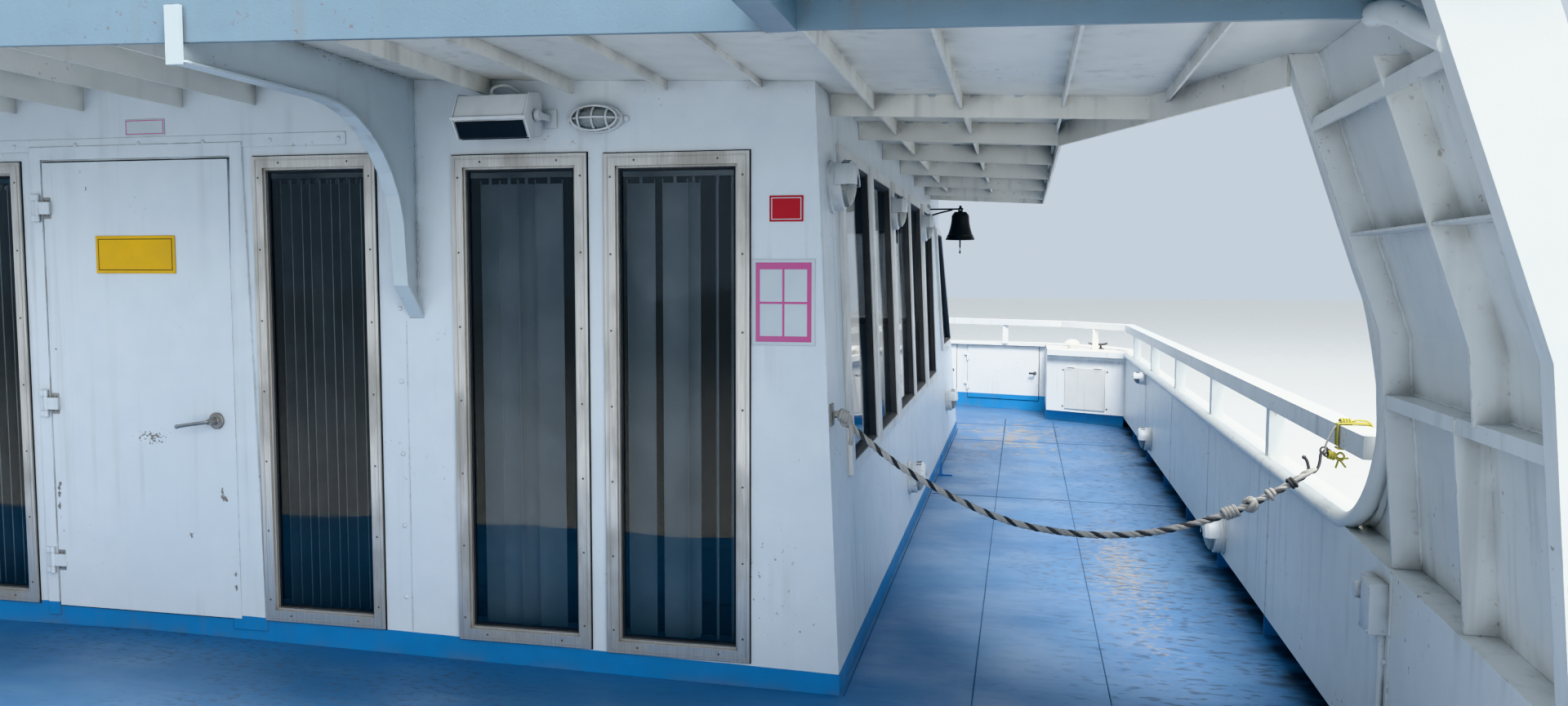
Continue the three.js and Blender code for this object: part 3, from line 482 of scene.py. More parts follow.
@dataclass(frozen=True)
class DeckPaint(Finish):
    """Blue deck paint that feet and water have worn, over white beams."""

    tone: Colour = (0.062, 0.162, 0.335)
    shade: Colour = (0.083, 0.195, 0.37)
    worn: Colour = (0.27, 0.255, 0.24)
    dirt: Colour = (0.04, 0.034, 0.03)
    beams: Colour = (0.5, 0.54, 0.57)
    gutter: float = 4.66
    patches: tuple[Patch, ...] = (
        Patch((3.5, 6.9, 0.0), (0.95, 2.2, 0.4), 9.0, (1.0, 1.5, 1.0)),
        Patch((4.55, 6.4, 0.0), (0.2, 0.4, 0.4), 9.0), Patch((-3.6, 5.6, 0.0), (0.6, 1.2, 0.4), 7.0),
        Patch((4.15, 2.1, 0.0), (0.35, 2.5, 0.4), 30.0, (1.0, 2.5, 1.0)))

    def draw(self, tree: Tree, shader: bpy.types.Node) -> None:
        """Draws the deck's wear, its dirt, and a near-black band along the gutter by the lining that is partly grime
        and partly painted shade.

        Args:
            tree: the material's tree.
            shader: its Principled BSDF.
        """
        place = tree.put("SeparateXYZ", tree.put("TexCoord").outputs["Object"]).outputs
        out = tree.math("ABSOLUTE", place[0])
        colour = tree.mix(tree.span(tree.noise(0.9, 6.0), 0.36, 0.66), self.tone, self.shade)
        brushed = tree.span(tree.noise(3.0, 5.0, (1.0, 5.0, 1.0)), 0.4, 0.75, 0.0, 0.45)
        colour = tree.mix(brushed, colour, (0.12, 0.232, 0.395))
        trodden = tree.span(tree.noise(1.15, 3.0, shift=9.0), 0.4, 0.62)
        outwards = tree.span(out, 3.4, 4.5, 0.0, 0.6)
        zone = tree.span(tree.math("ADD", trodden, outwards), 0.3, 1.3)
        scuffs = tree.span(tree.noise(22.0, 9.0, (1.0, 2.6, 1.0), 4.0), 0.53, 0.62)
        bare = tree.math("MULTIPLY", scuffs, zone)
        colour = tree.mix(tree.math("MULTIPLY", bare, 0.65), colour, (0.12, 0.135, 0.165))
        for patch in self.patches:
            worn = patch.mask(tree)
            colour = tree.mix(tree.math("MULTIPLY", worn, 0.85), colour, self.worn)
            bare = tree.math("MAXIMUM", bare, worn)
        # Painted shade: near-black from about the lining outwards, partly grime in the gutter and partly the shade
        # under the lining.
        rim = tree.math("MULTIPLY_ADD", tree.noise(4.0, 9.0, (1.0, 1.6, 1.0), 13.0), 0.6, out)
        grime = tree.span(rim, self.gutter + 0.23, self.gutter + 0.42)
        smears = tree.math("MULTIPLY", tree.span(tree.noise(13.0, 9.0, (1.0, 2.2, 1.0), 19.0), 0.53, 0.64), 0.5)
        smears = tree.math("MULTIPLY", smears, tree.span(out, 3.4, 4.4, 0.12, 1.0))
        dirt = tree.math("MAXIMUM", tree.math("MULTIPLY", grime, 0.92), smears)
        colour = tree.mix(dirt, colour, self.dirt)
        crown = tree.math("MULTIPLY_ADD", out, 0.012, place[2])
        over = tree.span(crown, DECK_LEVEL + 0.026, DECK_LEVEL + 0.032)
        coat = tree.effect(
            WeatheredCoat(), Tone=self.beams, Shade=(0.4, 0.43, 0.46), Dirt=(0.2, 0.18, 0.16), Cloud=0.7,
            Runs=0.3, Grime=0.6, Rust=1.0, Gloss=0.5)
        tree.feed(shader.inputs["Base Color"], tree.mix(over, coat["Colour"], colour))
        rough = tree.math("MULTIPLY_ADD", bare, 0.25, tree.span(tree.noise(2.2, 6.0, shift=29.0), 0.3, 0.7, 0.3, 0.55))
        tree.feed(shader.inputs["Roughness"], tree.math("MULTIPLY_ADD", dirt, 0.25, rough))
        waves = tree.math("MULTIPLY", tree.noise(1.9, 2.0, shift=31.0), 1.1)
        grit = tree.math("MULTIPLY", tree.noise(220.0, 3.0), 0.06)
        chips = tree.math("MULTIPLY_ADD", bare, -0.03, grit)
        self.raise_surface(tree, shader, tree.math("ADD", waves, chips))


@dataclass(frozen=True)
class Metal(Finish):
    """Bare or galvanised metal with grain, stains and dulled patches."""

    tone: Colour = (0.58, 0.565, 0.54)
    stain: Colour = (0.2, 0.17, 0.13)
    stained: float = 0.6
    gloss: float = 0.36
    grain: Point = (60.0, 60.0, 2.0)
    bare: float = 0.85

    def draw(self, tree: Tree, shader: bpy.types.Node) -> None:
        """Draws the grain and the stains.

        Args:
            tree: the material's tree.
            shader: its Principled BSDF.
        """
        fine = tree.noise(3.0, 3.0, self.grain)
        patches = tree.span(tree.noise(5.0, 6.0, (1.0, 1.0, 0.45), 6.0), 0.46, 0.68)
        near = tree.put("AmbientOcclusion", Distance=0.035, settings={"samples": 4}).outputs["AO"]
        corner = tree.span(near, 0.4, 0.95, 1.0, 0.0)
        stain = tree.math("MULTIPLY", tree.math("MAXIMUM", tree.math("MULTIPLY", patches, 0.6), corner), self.stained)
        colour = tree.mix(tree.span(fine, 0.3, 0.7, 0.0, 0.4), self.tone, tuple(0.62 * part for part in self.tone))
        tree.feed(shader.inputs["Base Color"], tree.mix(stain, colour, self.stain))
        tree.feed(shader.inputs["Metallic"], tree.math("MULTIPLY_ADD", stain, -0.6 * self.bare, self.bare))
        rough = tree.math("MULTIPLY_ADD", fine, 0.16, self.gloss - 0.08)
        tree.feed(shader.inputs["Roughness"], tree.math("MULTIPLY_ADD", stain, 0.3, rough))
        edge = tree.effect(ChippedEdge(), Radius=0.0018, Amount=0.0)
        self.raise_surface(tree, shader, tree.math("MULTIPLY", fine, 0.12), edge["Normal"])


@dataclass(frozen=True)
class Glass(Finish):
    """Window glass with a film of salt and finger marks."""

    tint: Colour = (0.6, 0.63, 0.65)
    clean: float = 0.012

    def draw(self, tree: Tree, shader: bpy.types.Node) -> None:
        """Draws the glass.

        Args:
            tree: the material's tree.
            shader: its Principled BSDF.
        """
        shader.inputs["Transmission Weight"].default_value = 1.0
        shader.inputs["Metallic"].default_value = 0.0
        shader.inputs["IOR"].default_value = 1.46
        film = tree.span(tree.noise(2.4, 6.0, (1.0, 1.0, 0.6)), 0.45, 0.75)
        tree.feed(shader.inputs["Base Color"], tree.mix(film, self.tint, tuple(0.9 * part for part in self.tint)))
        tree.feed(shader.inputs["Roughness"], tree.math("MULTIPLY_ADD", film, 0.05, self.clean))
        self.raise_surface(tree, shader, tree.noise(1.6, 1.0))


@dataclass(frozen=True)
class Plain(Finish):
    """Rubber, plastic, cloth or enamel: one stuff with clouding, specks and a fine skin."""

    tone: Colour = (0.03, 0.03, 0.032)
    shade: Colour = (0.05, 0.05, 0.05)
    gloss: float = 0.6
    grain: float = 90.0
    stretch: Point = (1.0, 1.0, 1.0)
    see_through: float = 0.0

    def draw(self, tree: Tree, shader: bpy.types.Node) -> None:
        """Draws the stuff.

        Args:
            tree: the material's tree.
            shader: its Principled BSDF.
        """
        fine = tree.noise(self.grain, 4.0, self.stretch)
        broad = tree.noise(4.0, 5.0, shift=8.0)
        tree.feed(shader.inputs["Base Color"], tree.mix(tree.span(broad, 0.35, 0.7), self.tone, self.shade))
        tree.feed(shader.inputs["Roughness"], tree.math("MULTIPLY_ADD", fine, 0.2, self.gloss - 0.1))
        if self.see_through:
            shader.inputs["Transmission Weight"].default_value = self.see_through
        self.raise_surface(tree, shader, tree.math("MULTIPLY", fine, 0.1))


WALL = Paint(
    "wall_paint", tone=(0.72, 0.775, 0.82), shade=(0.62, 0.69, 0.75), base=(0.035, 0.24, 0.56), level=0.142, fall=0.0206)
STEEL = Paint("steel_paint", tone=(0.82, 0.84, 0.83), shade=(0.7, 0.735, 0.74))
DOOR = Paint(
    "door_paint", tone=(0.72, 0.775, 0.82), shade=(0.62, 0.69, 0.75), grime=0.8, chips=1.0, runs=0.2,
    bared=(0.23, 0.22, 0.21), patches=(
        Patch((-0.43, -0.01, 0.56), (0.022, 0.1, 0.24), 34.0), Patch((0.386, -0.01, 0.63), (0.034, 0.1, 0.08), 26.0),
        Patch((0.43, -0.01, 0.25), (0.02, 0.1, 0.13), 40.0), Patch((-0.233, -0.01, 1.913), (0.007, 0.1, 0.02), 60.0),
        Patch((-0.355, -0.01, 1.922), (0.007, 0.1, 0.018), 60.0), Patch((0.22, -0.01, 0.46), (0.03, 0.1, 0.02), 60.0),
        Patch((-0.415, -0.01, 1.23), (0.01, 0.1, 0.02), 60.0), Patch((0.05, -0.01, 0.87), (0.12, 0.1, 0.05), 90.0)))
BULWARK = Paint(
    "bulwark_paint", tone=(0.83, 0.845, 0.83), shade=(0.72, 0.75, 0.75), base=(0.06, 0.2, 0.5), level=0.079, grime=0.7)
BOW = Paint("bow_paint", tone=(0.88, 0.87, 0.84), shade=(0.8, 0.8, 0.78), base=(0.045, 0.3, 0.62), level=0.165)
LOCKER = Paint("locker_paint", tone=(0.88, 0.87, 0.84), shade=(0.8, 0.8, 0.78), base=(0.045, 0.3, 0.62), level=0.1)
FITTING = Paint(
    "fitting_paint", tone=(0.72, 0.75, 0.77), shade=(0.62, 0.66, 0.69), grime=0.9, chips=0.9, edge=0.0016)
# The upper deck's dark fascia tone is painted shade on its aft face.
OVERHEAD = Paint(
    "overhead_paint", relief=0.3, tone=(0.86, 0.85, 0.8), shade=(0.72, 0.72, 0.69), rust=0.45, grime=0.75,
    fascia_shade=(0.21, 0.31, 0.4))
KNEE = Paint("knee_paint", tone=(0.58, 0.66, 0.71), shade=(0.5, 0.58, 0.63), rust=0.9, grime=0.75)
HATCH = Paint("hatch_paint", tone=(0.72, 0.71, 0.68), shade=(0.64, 0.63, 0.6), grime=0.8)
IRON = Metal("dark_iron", tone=(0.2, 0.2, 0.21), stain=(0.1, 0.06, 0.04), gloss=0.4, grain=(20.0, 20.0, 20.0))
DECK = DeckPaint("deck_paint")
TRIM_BLUE = Paint("blue_paint", tone=(0.07, 0.22, 0.53), shade=(0.05, 0.16, 0.42))
ALUMINIUM = Metal("aluminium", tone=(0.76, 0.745, 0.72), stained=0.75)
PALE_METAL = Metal("pale_metal", tone=(0.82, 0.83, 0.83), stained=0.4, bare=0.35)
SEAM = Plain("seam_grime", tone=(0.05, 0.12, 0.24), shade=(0.03, 0.07, 0.13), gloss=0.75, grain=60.0)
SCREW = Metal("screw_heads", tone=(0.22, 0.21, 0.2), gloss=0.45)
GALVANISED = Metal("galvanised", tone=(0.45, 0.45, 0.45), grain=(9.0, 9.0, 9.0), gloss=0.45)
PANE = Glass("window_glass")
RUBBER = Plain("rubber_seal")
BLIND = Plain(
    "blind_cloth", tone=(0.2, 0.22, 0.24), shade=(0.13, 0.145, 0.155), gloss=0.8, grain=8.0, stretch=(60.0, 60.0, 6.0))
# A lighter copy of the blind cloth: painted daylight on the flat slats of windows 2 and 3.
LIT_BLIND = Plain(
    "lit_blind_cloth", tone=(0.47, 0.53, 0.58), shade=(0.37, 0.425, 0.47), gloss=0.8, grain=8.0,
    stretch=(60.0, 60.0, 6.0))
SLAT_EDGE = Plain("slat_edge", tone=(0.62, 0.65, 0.67), shade=(0.5, 0.53, 0.55), gloss=0.7, grain=30.0)
# Near-black slats that paint the shade of the room behind the blinds.
ROOM_SHADE_SLAT = Plain("painted_shade_slat", tone=(0.012, 0.013, 0.015), shade=(0.02, 0.021, 0.024), gloss=0.8, grain=30.0)
BRONZE = Plain("bell_black", tone=(0.012, 0.012, 0.013), shade=(0.03, 0.027, 0.024), gloss=0.42, grain=35.0)
ROPE_PALE = Plain("rope_pale", tone=(0.5, 0.49, 0.47), shade=(0.33, 0.32, 0.31), gloss=0.9, grain=320.0)
ROPE_DARK = Plain("rope_dark", tone=(0.06, 0.06, 0.065), shade=(0.13, 0.125, 0.12), gloss=0.9, grain=320.0)
LASHING = Plain("yellow_line", tone=(0.42, 0.38, 0.08), shade=(0.3, 0.29, 0.13), gloss=0.8, grain=260.0)
LENS = Plain("lamp_lens", tone=(0.42, 0.45, 0.45), shade=(0.33, 0.35, 0.35), gloss=0.3, see_through=0.25)
# Near-black: the floodlight's glass, and painted shade inside the ceiling slot.
BLACK_GLASS_AND_SHADE = Plain("black_glass_and_shade", tone=(0.006, 0.006, 0.007), shade=(0.012, 0.012, 0.013), gloss=0.55, grain=20.0)
SIGN_YELLOW = Plain("sign_yellow", tone=(0.82, 0.48, 0.02), shade=(0.72, 0.42, 0.03), gloss=0.4)
SIGN_RED = Plain("sign_red", tone=(0.52, 0.02, 0.03), shade=(0.43, 0.02, 0.03), gloss=0.35)
SIGN_PINK = Plain("sign_pink", tone=(0.62, 0.13, 0.33), shade=(0.56, 0.15, 0.34), gloss=0.45)
SIGN_WHITE = Plain("sign_white", tone=(0.62, 0.68, 0.72), shade=(0.56, 0.62, 0.67), gloss=0.45)
SIGN_DARK = Plain("sign_dark", tone=(0.03, 0.03, 0.02), shade=(0.06, 0.05, 0.03), gloss=0.5)


# Shapes


def softened(part: Mesh, width: float, segments: int = 2, sharpest: float = 0.6) -> Mesh:
    """Rounds the sharp edges of a closed part.

    Args:
        part: the part.
        width: how far the rounding reaches; 0 leaves the part as it is.
        segments: steps in the rounding.
        sharpest: the least angle between faces that counts as an edge.

    Returns:
        The same part.
    """
    if width:
        edges = [edge for edge in part.edges if edge.is_manifold and edge.calc_face_angle(0.0) > sharpest]
        bmesh.ops.bevel(
            part, geom=edges, offset=width, offset_type="OFFSET", affect="EDGES", segments=segments, profile=0.5,
            material=-1, clamp_overlap=True)
    return part


def block(size: Point, bevel: float = 0.0, segments: int = 2) -> Mesh:
    """A box about the origin with rounded edges."""
    part = bmesh.new()
    bmesh.ops.create_cube(part, size=1.0, matrix=Matrix.Diagonal((*size, 1.0)))
    return softened(part, bevel, segments)


def drum(radius: float, depth: float, top: float | None = None, sides: int = 24, bevel: float = 0.0) -> Mesh:
    """A drum or cone about the origin along z, with rounded rims."""
    part = bmesh.new()
    end = radius if top is None else top
    bmesh.ops.create_cone(part, cap_ends=True, segments=sides, radius1=radius, radius2=end, depth=depth)
    return softened(part, bevel, 2, 0.9)


def ball(radius: float, around: int = 16, along: int = 10) -> Mesh:
    """A ball about the origin."""
    part = bmesh.new()
    bmesh.ops.create_uvsphere(part, u_segments=around, v_segments=along, radius=radius)
    return part


def turned(profile: Sequence[Flat], steps: int = 32, angle: float = math.tau) -> Mesh:
    """A shape turned about the z axis.

    Args:
        profile: radius and height of each point.
        steps: how many faces go round.
        angle: how far it turns.

    Returns:
        The part, closed where the profile starts and ends on the axis.
    """
    part = bmesh.new()
    points = [part.verts.new((radius, 0.0, height)) for radius, height in profile]
    edges = [part.edges.new(pair) for pair in zip(points, points[1:])]
    full = angle == math.tau
    bmesh.ops.spin(
        part, geom=points + edges, cent=(0, 0, 0), axis=(0, 0, 1), angle=angle, steps=steps, use_merge=full)
    bmesh.ops.remove_doubles(part, verts=part.verts[:], dist=1e-5)
    bmesh.ops.dissolve_degenerate(part, edges=part.edges[:], dist=1e-6)
    bmesh.ops.holes_fill(part, edges=part.edges[:], sides=0)
    bmesh.ops.recalc_face_normals(part, faces=part.faces[:])
    return part


def plate(outline: Sequence[Flat], depth: float, bevel: float = 0.0) -> Mesh:
    """A flat plate drawn in x and y, from z = 0 up to its depth."""
    part = bmesh.new()
    face = part.faces.new([part.verts.new((x, y, 0.0)) for x, y in outline])
    made = bmesh.ops.extrude_face_region(part, geom=[face])["geom"]
    raised = [item for item in made if isinstance(item, bmesh.types.BMVert)]
    bmesh.ops.translate(part, vec=(0.0, 0.0, depth), verts=raised)
    bmesh.ops.recalc_face_normals(part, faces=part.faces[:])
    return softened(part, bevel)


def disc(radius: float, sides: int = 8) -> list[Flat]:
    """The outline of a round section."""
    return [(radius * math.cos(i * math.tau / sides), radius * math.sin(i * math.tau / sides)) for i in range(sides)]


def strip(width: float, height: float) -> list[Flat]:
    """The outline of a flat section that lies on its line, rounded on top."""
    half, shoulder = width / 2, width / 3.2
    return [(-half, 0.0), (half, 0.0), (shoulder, height), (-shoulder, height)]


def stations(line: Sequence[Vector], up: Vector | None, closed: bool) -> list[Matrix]:
    """Places along a line, for a section that is swept along it.

    Args:
        line: the points.
        up: the way that the section's v axis keeps, or None to let it follow the line.
        closed: whether the line comes back to its start.

    Returns:
        A matrix for each point, mitred where up is given.
    """
    count = len(line)
    places, side, last = [], None, None
    for i, point in enumerate(line):
        before = line[i - 1] if i or closed else line[0]
        after = line[(i + 1) % count] if i + 1 < count or closed else line[-1]
        come = (point - before).normalized() or (after - point).normalized()
        leave = (after - point).normalized() or come
        ahead = (come + leave).normalized()
        stretch = 1.0
        if up is not None:
            side = up.cross(ahead).normalized()
            stretch = 1.0 / max(0.35, ahead.dot(leave))
        elif side is None:
            side = ahead.orthogonal().normalized()
        else:
            side = (last.rotation_difference(ahead) @ side).normalized()
        last = ahead
        rise = ahead.cross(side)
        place = Matrix((side * stretch, rise, ahead)).transposed().to_4x4()
        place.translation = point
        places.append(place)
    return places


def sweep(section: Sequence[Flat], points: Iterable[Point], up: Point | None = None, closed: bool = False) -> Mesh:
    """Draws a section along a line.

    Args:
        section: its outline, u to the side and v upwards.
        points: the line.
        up: which way v points, for a flat line with mitred corners.
        closed: whether the line is a loop.

    Returns:
        The part, with its ends closed.
    """
    part = bmesh.new()
    places = stations([Vector(point) for point in points], Vector(up) if up else None, closed)
    if closed:
        places.append(places[0])
    ring = [part.verts.new(places[0] @ Vector((u, v, 0.0))) for u, v in section]
    first = edges = [part.edges.new(pair) for pair in zip(ring, ring[1:] + ring[:1])]
    for here, there in zip(places, places[1:]):
        made = bmesh.ops.extrude_edge_only(part, edges=edges)["geom"]
        edges = [item for item in made if isinstance(item, bmesh.types.BMEdge)]
        moved = [item for item in made if isinstance(item, bmesh.types.BMVert)]
        bmesh.ops.transform(part, matrix=there @ here.inverted(), verts=moved)
    if closed:
        bmesh.ops.remove_doubles(part, verts=part.verts[:], dist=1e-5)
    else:
        bmesh.ops.edgeloop_fill(part, edges=first)
        bmesh.ops.edgeloop_fill(part, edges=edges)
    bmesh.ops.recalc_face_normals(part, faces=part.faces[:])
    return part


def curved(points: Sequence[Point], steps: int = 6, closed: bool = False) -> list[Vector]:
    """A smooth line through the points.

    Args:
        points: where it passes.
        steps: how many pieces each stretch gets.
        closed: whether it comes back to its start.

    Returns:
        The line's points.
    """
    line = [Vector(point) for point in points]
    count = len(line)
    made = []
    for i in range(count if closed else count - 1):
        a, b = line[i], line[(i + 1) % count]
        before = line[i - 1] if i or closed else a * 2 - b
        after = line[(i + 2) % count] if i + 2 < count or closed else b * 2 - a
        for k in range(steps):
            t = k / steps
            made.append(0.5 * (
                2 * a + (b - before) * t + (2 * before - 5 * a + 4 * b - after) * t ** 2
                + (3 * a - before - 3 * b + after) * t ** 3))
    return made if closed else [*made, line[-1]]


def coil(radius: float, turns: float, pitch: float, wire: float) -> Mesh:
    """A line wound round the z axis.

    Args:
        radius: from the axis to the line's middle.
        turns: how often it goes round.
        pitch: how far it climbs in a turn.
        wire: the line's own radius.

    Returns:
        The part, from z = 0 upwards.
    """
    count = max(4, round(turns * 16))
    steps = [(i * turns / count * math.tau, i * turns / count * pitch) for i in range(count + 1)]
    return sweep(disc(wire, 8), [(radius * math.cos(a), radius * math.sin(a), z) for a, z in steps])


def facing(direction: Point, at: Point = (0.0, 0.0, 0.0), turn: float = 0.0) -> Matrix:
    """The place of a part whose z axis points in a direction."""
    turned_to = Vector(direction).to_track_quat("Z", "Y").to_matrix().to_4x4()
    return Matrix.Translation(at) @ turned_to @ Matrix.Rotation(turn, 4, "Z")


def at(x: float, y: float, z: float) -> Matrix:
    """The place of a part that is only moved."""
    return Matrix.Translation((x, y, z))


class Form:
    """A mesh in the making, in the ship's frame."""

    def __init__(self) -> None:
        """Starts with nothing."""
        self.mesh = bmesh.new()
        self.tint = 0

    def add(self, part: Mesh, *places: Matrix) -> "Form":
        """Adds a part, once at each place, in the current tint.

        Args:
            part: the part, which is used up.
            places: where it goes; the origin if none is given.

        Returns:
            The form itself.
        """
        for face in part.faces:
            face.material_index = self.tint
        sheet = bpy.data.meshes.new("part")
        part.to_mesh(sheet)
        part.free()
        for place in places or (Matrix.Identity(4),):
            copy = sheet.copy()
            copy.transform(place)
            self.mesh.from_mesh(copy)
            bpy.data.meshes.remove(copy)
        bpy.data.meshes.remove(sheet)
        return self

    def dip(self, tint: int) -> "Form":
        """Sets the finish, by its number, of the parts that follow."""
        self.tint = tint
        return self

    def to(self, side: Side) -> "Form":
        """Carries the form to that side of the ship."""
        if side is Side.PORT:
            bmesh.ops.transform(self.mesh, matrix=Matrix.Scale(-1.0, 4, (1.0, 0.0, 0.0)), verts=self.mesh.verts[:])
            bmesh.ops.recalc_face_normals(self.mesh, faces=self.mesh.faces[:])
        return self

    def piece(self, name: str, body: str, slot: str, *finishes: Finish) -> bpy.types.Object:
        """Makes the finished piece.

        Args:
            name: its name.
            body: the body that it rides on.
            slot: the record's material slot; not used.
            finishes: one for each tint.

        Returns:
            The object, at the origin, with its place in its mesh.
        """
        bmesh.ops.transform(self.mesh, matrix=SHIP_TO_ROW, verts=self.mesh.verts[:])
        for edge in self.mesh.edges:
            edge.smooth = edge.calc_face_angle(0.0) < SMOOTH_BELOW
        for face in self.mesh.faces:
            face.smooth = True
        sheet = bpy.data.meshes.new(name)
        self.mesh.to_mesh(sheet)
        self.mesh.free()
        for finish in finishes:
            sheet.materials.append(finish.material())
        made = bpy.data.objects.new(name, sheet)
        bpy.context.scene.collection.objects.link(made)
        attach(made, body)
        LOG.info("%s: %d faces", name, len(sheet.polygons))
        return made


def pair(name: str, make: Callable[[], Form], slot: str, *finishes: Finish, replaces: str = "") -> None:
    """Makes a fixed piece on both sides.

    Args:
        name: its name without the side.
        make: draws it to starboard.
        slot: the record's material slot.
        finishes: one for each tint.
        replaces: the CAD node that it stands for, without the side.
    """
    for side in Side:
        made = make().to(side).piece(f"{name}_{side.word}", "structure", slot, *finishes)
        if replaces:
            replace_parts(made, replaces.format(side=side.word))


# Camera, light and floor


@dataclass(frozen=True)
class Viewpoint:
    """Where the photographer stands, and how the camera is turned."""

    place: Point = (3.6056, -7.8639, 1.7104)
    to_port: float = 12.236
    pitch: float = -4.010
    roll: float = 0.124
    lens: float = 25.19

    def build(self) -> None:
        """Makes the camera the scene's own."""
        camera = bpy.data.objects.new("camera", bpy.data.cameras.new("camera"))
        camera.data.lens = self.lens
        camera.data.sensor_width = 36.0
        camera.data.clip_start, camera.data.clip_end = 0.05, 300.0
        turn = Matrix.Rotation(math.radians(self.to_port), 4, "Z")
        nod = Matrix.Rotation(math.radians(90.0 + self.pitch), 4, "X")
        camera.matrix_world = Matrix.Translation(self.place) @ turn @ nod @ Matrix.Rotation(math.radians(self.roll), 4, "Z")
        bpy.context.scene.collection.objects.link(camera)
        bpy.context.scene.camera = camera


@dataclass(frozen=True)
class Studio:
    """A pale floor under an even sky, with wide soft lights from aft, from ahead and over the bow."""

    floor: float = 160.0
    sky: Colour = (0.7, 0.79, 0.88)
    sky_strength: float = 0.85
    blue: Colour = (0.84, 0.92, 0.98)
    warm: Colour = (1.0, 0.96, 0.9)
    transform: str = "Khronos PBR Neutral"

    def build(self) -> None:
        """Makes the floor, the sky and the lights."""
        bpy.context.scene.view_settings.view_transform = self.transform
        form = Form()
        form.add(block((self.floor, self.floor, 0.2)), at(0.0, 3.95, -0.262))
        floor = form.piece("floor", "structure", "white_paint", Plain(
            "floor", tone=(0.56, 0.57, 0.57), shade=(0.53, 0.54, 0.54), gloss=0.8, grain=12.0))
        floor.parent = None
        world = bpy.data.worlds.new("sky")
        world.use_nodes = True
        world.node_tree.nodes["Background"].inputs["Color"].default_value = (*self.sky, 1.0)
        world.node_tree.nodes["Background"].inputs["Strength"].default_value = self.sky_strength
        bpy.context.scene.world = world
        self.light("aft_light", (0.1, -1.0, 0.17), 55.0, 0.5, self.blue, False)
        self.light("ahead_light", (0.16, 0.84, 0.54), 35.0, 0.2, self.warm)
        self.light("top_light", (0.0, 0.0, 1.0), 60.0, 0.8, self.warm)
        self.light("starboard_light", (0.72, -0.6, 0.34), 35.0, 1.2, self.warm)
        self.lantern("bow_light", (7.0, -8.0, 18.0), (2.5, 8.6, 0.5), 7.0, 6800.0)

    def lantern(self, name: str, place: Point, target: Point, size: float, power: float) -> None:
        """Adds a large soft light near the part that the camera doesn't see.

        Args:
            name: its name.
            place: where it hangs.
            target: what it shines at.
            size: the side of its square in metres.
            power: its power in watts.
        """
        lamp = bpy.data.lights.new(name, "AREA")
        lamp.size, lamp.energy, lamp.color = size, power, self.warm
        made = bpy.data.objects.new(name, lamp)
        made.matrix_world = facing(tuple(Vector(place) - Vector(target)), place)
        made.visible_camera = False
        bpy.context.scene.collection.objects.link(made)

    def light(
            self, name: str, source: Point, spread: float, power: float, colour: Colour, mirrored: bool = True) -> None:
        """Adds a wide even light that the camera doesn't see.

        Args:
            name: its name.
            source: the direction that it comes from.
            spread: how wide it stands in the sky, in degrees.
            power: its power in watts a square metre.
            colour: its colour.
            mirrored: whether glass and gloss reflect it.
        """
        lamp = bpy.data.lights.new(name, "SUN")
        lamp.angle, lamp.energy, lamp.color = math.radians(spread), power, colour
        made = bpy.data.objects.new(name, lamp)
        made.matrix_world = facing(source, (0.0, 0.0, 20.0))
        made.visible_glossy = mirrored
        bpy.context.scene.collection.objects.link(made)


class Coating:
    """Gives each CAD node that stays its finish."""

    BY_START: tuple[tuple[str, Finish], ...] = (
        ("main_deck", DECK), ("upper_deck", OVERHEAD), ("knee", KNEE), ("house_wall", WALL), ("side_glazing", PANE),
        ("front_glazing", PANE), ("aft_window_frame", ALUMINIUM), ("aft_window_pane", PANE), ("blinds", BLIND),
        ("aft_door_lever", GALVANISED), ("aft_door", DOOR), ("bulwark", BULWARK), ("rail", STEEL),
        ("bow_bulwark", BOW), ("bow_rail", BOW), ("bow_door", BOW), ("locker_hatch", HATCH), ("locker", LOCKER),
        ("wing", STEEL), ("floodlight", STEEL), ("cage_light", GALVANISED), ("bell_arm", STEEL), ("bell", BRONZE),
        ("passage_rope", ROPE_PALE), ("rope_eye", GALVANISED), ("rope_hook", GALVANISED),
    )

    def build(self) -> None:
        """Puts the finishes on."""
        for name, node in frame["nodes"].items():
            finish = next(finish for start, finish in self.BY_START if name.startswith(start))
            for slot in node.material_slots:
                slot.material = finish.material()


# The rope across the side passage


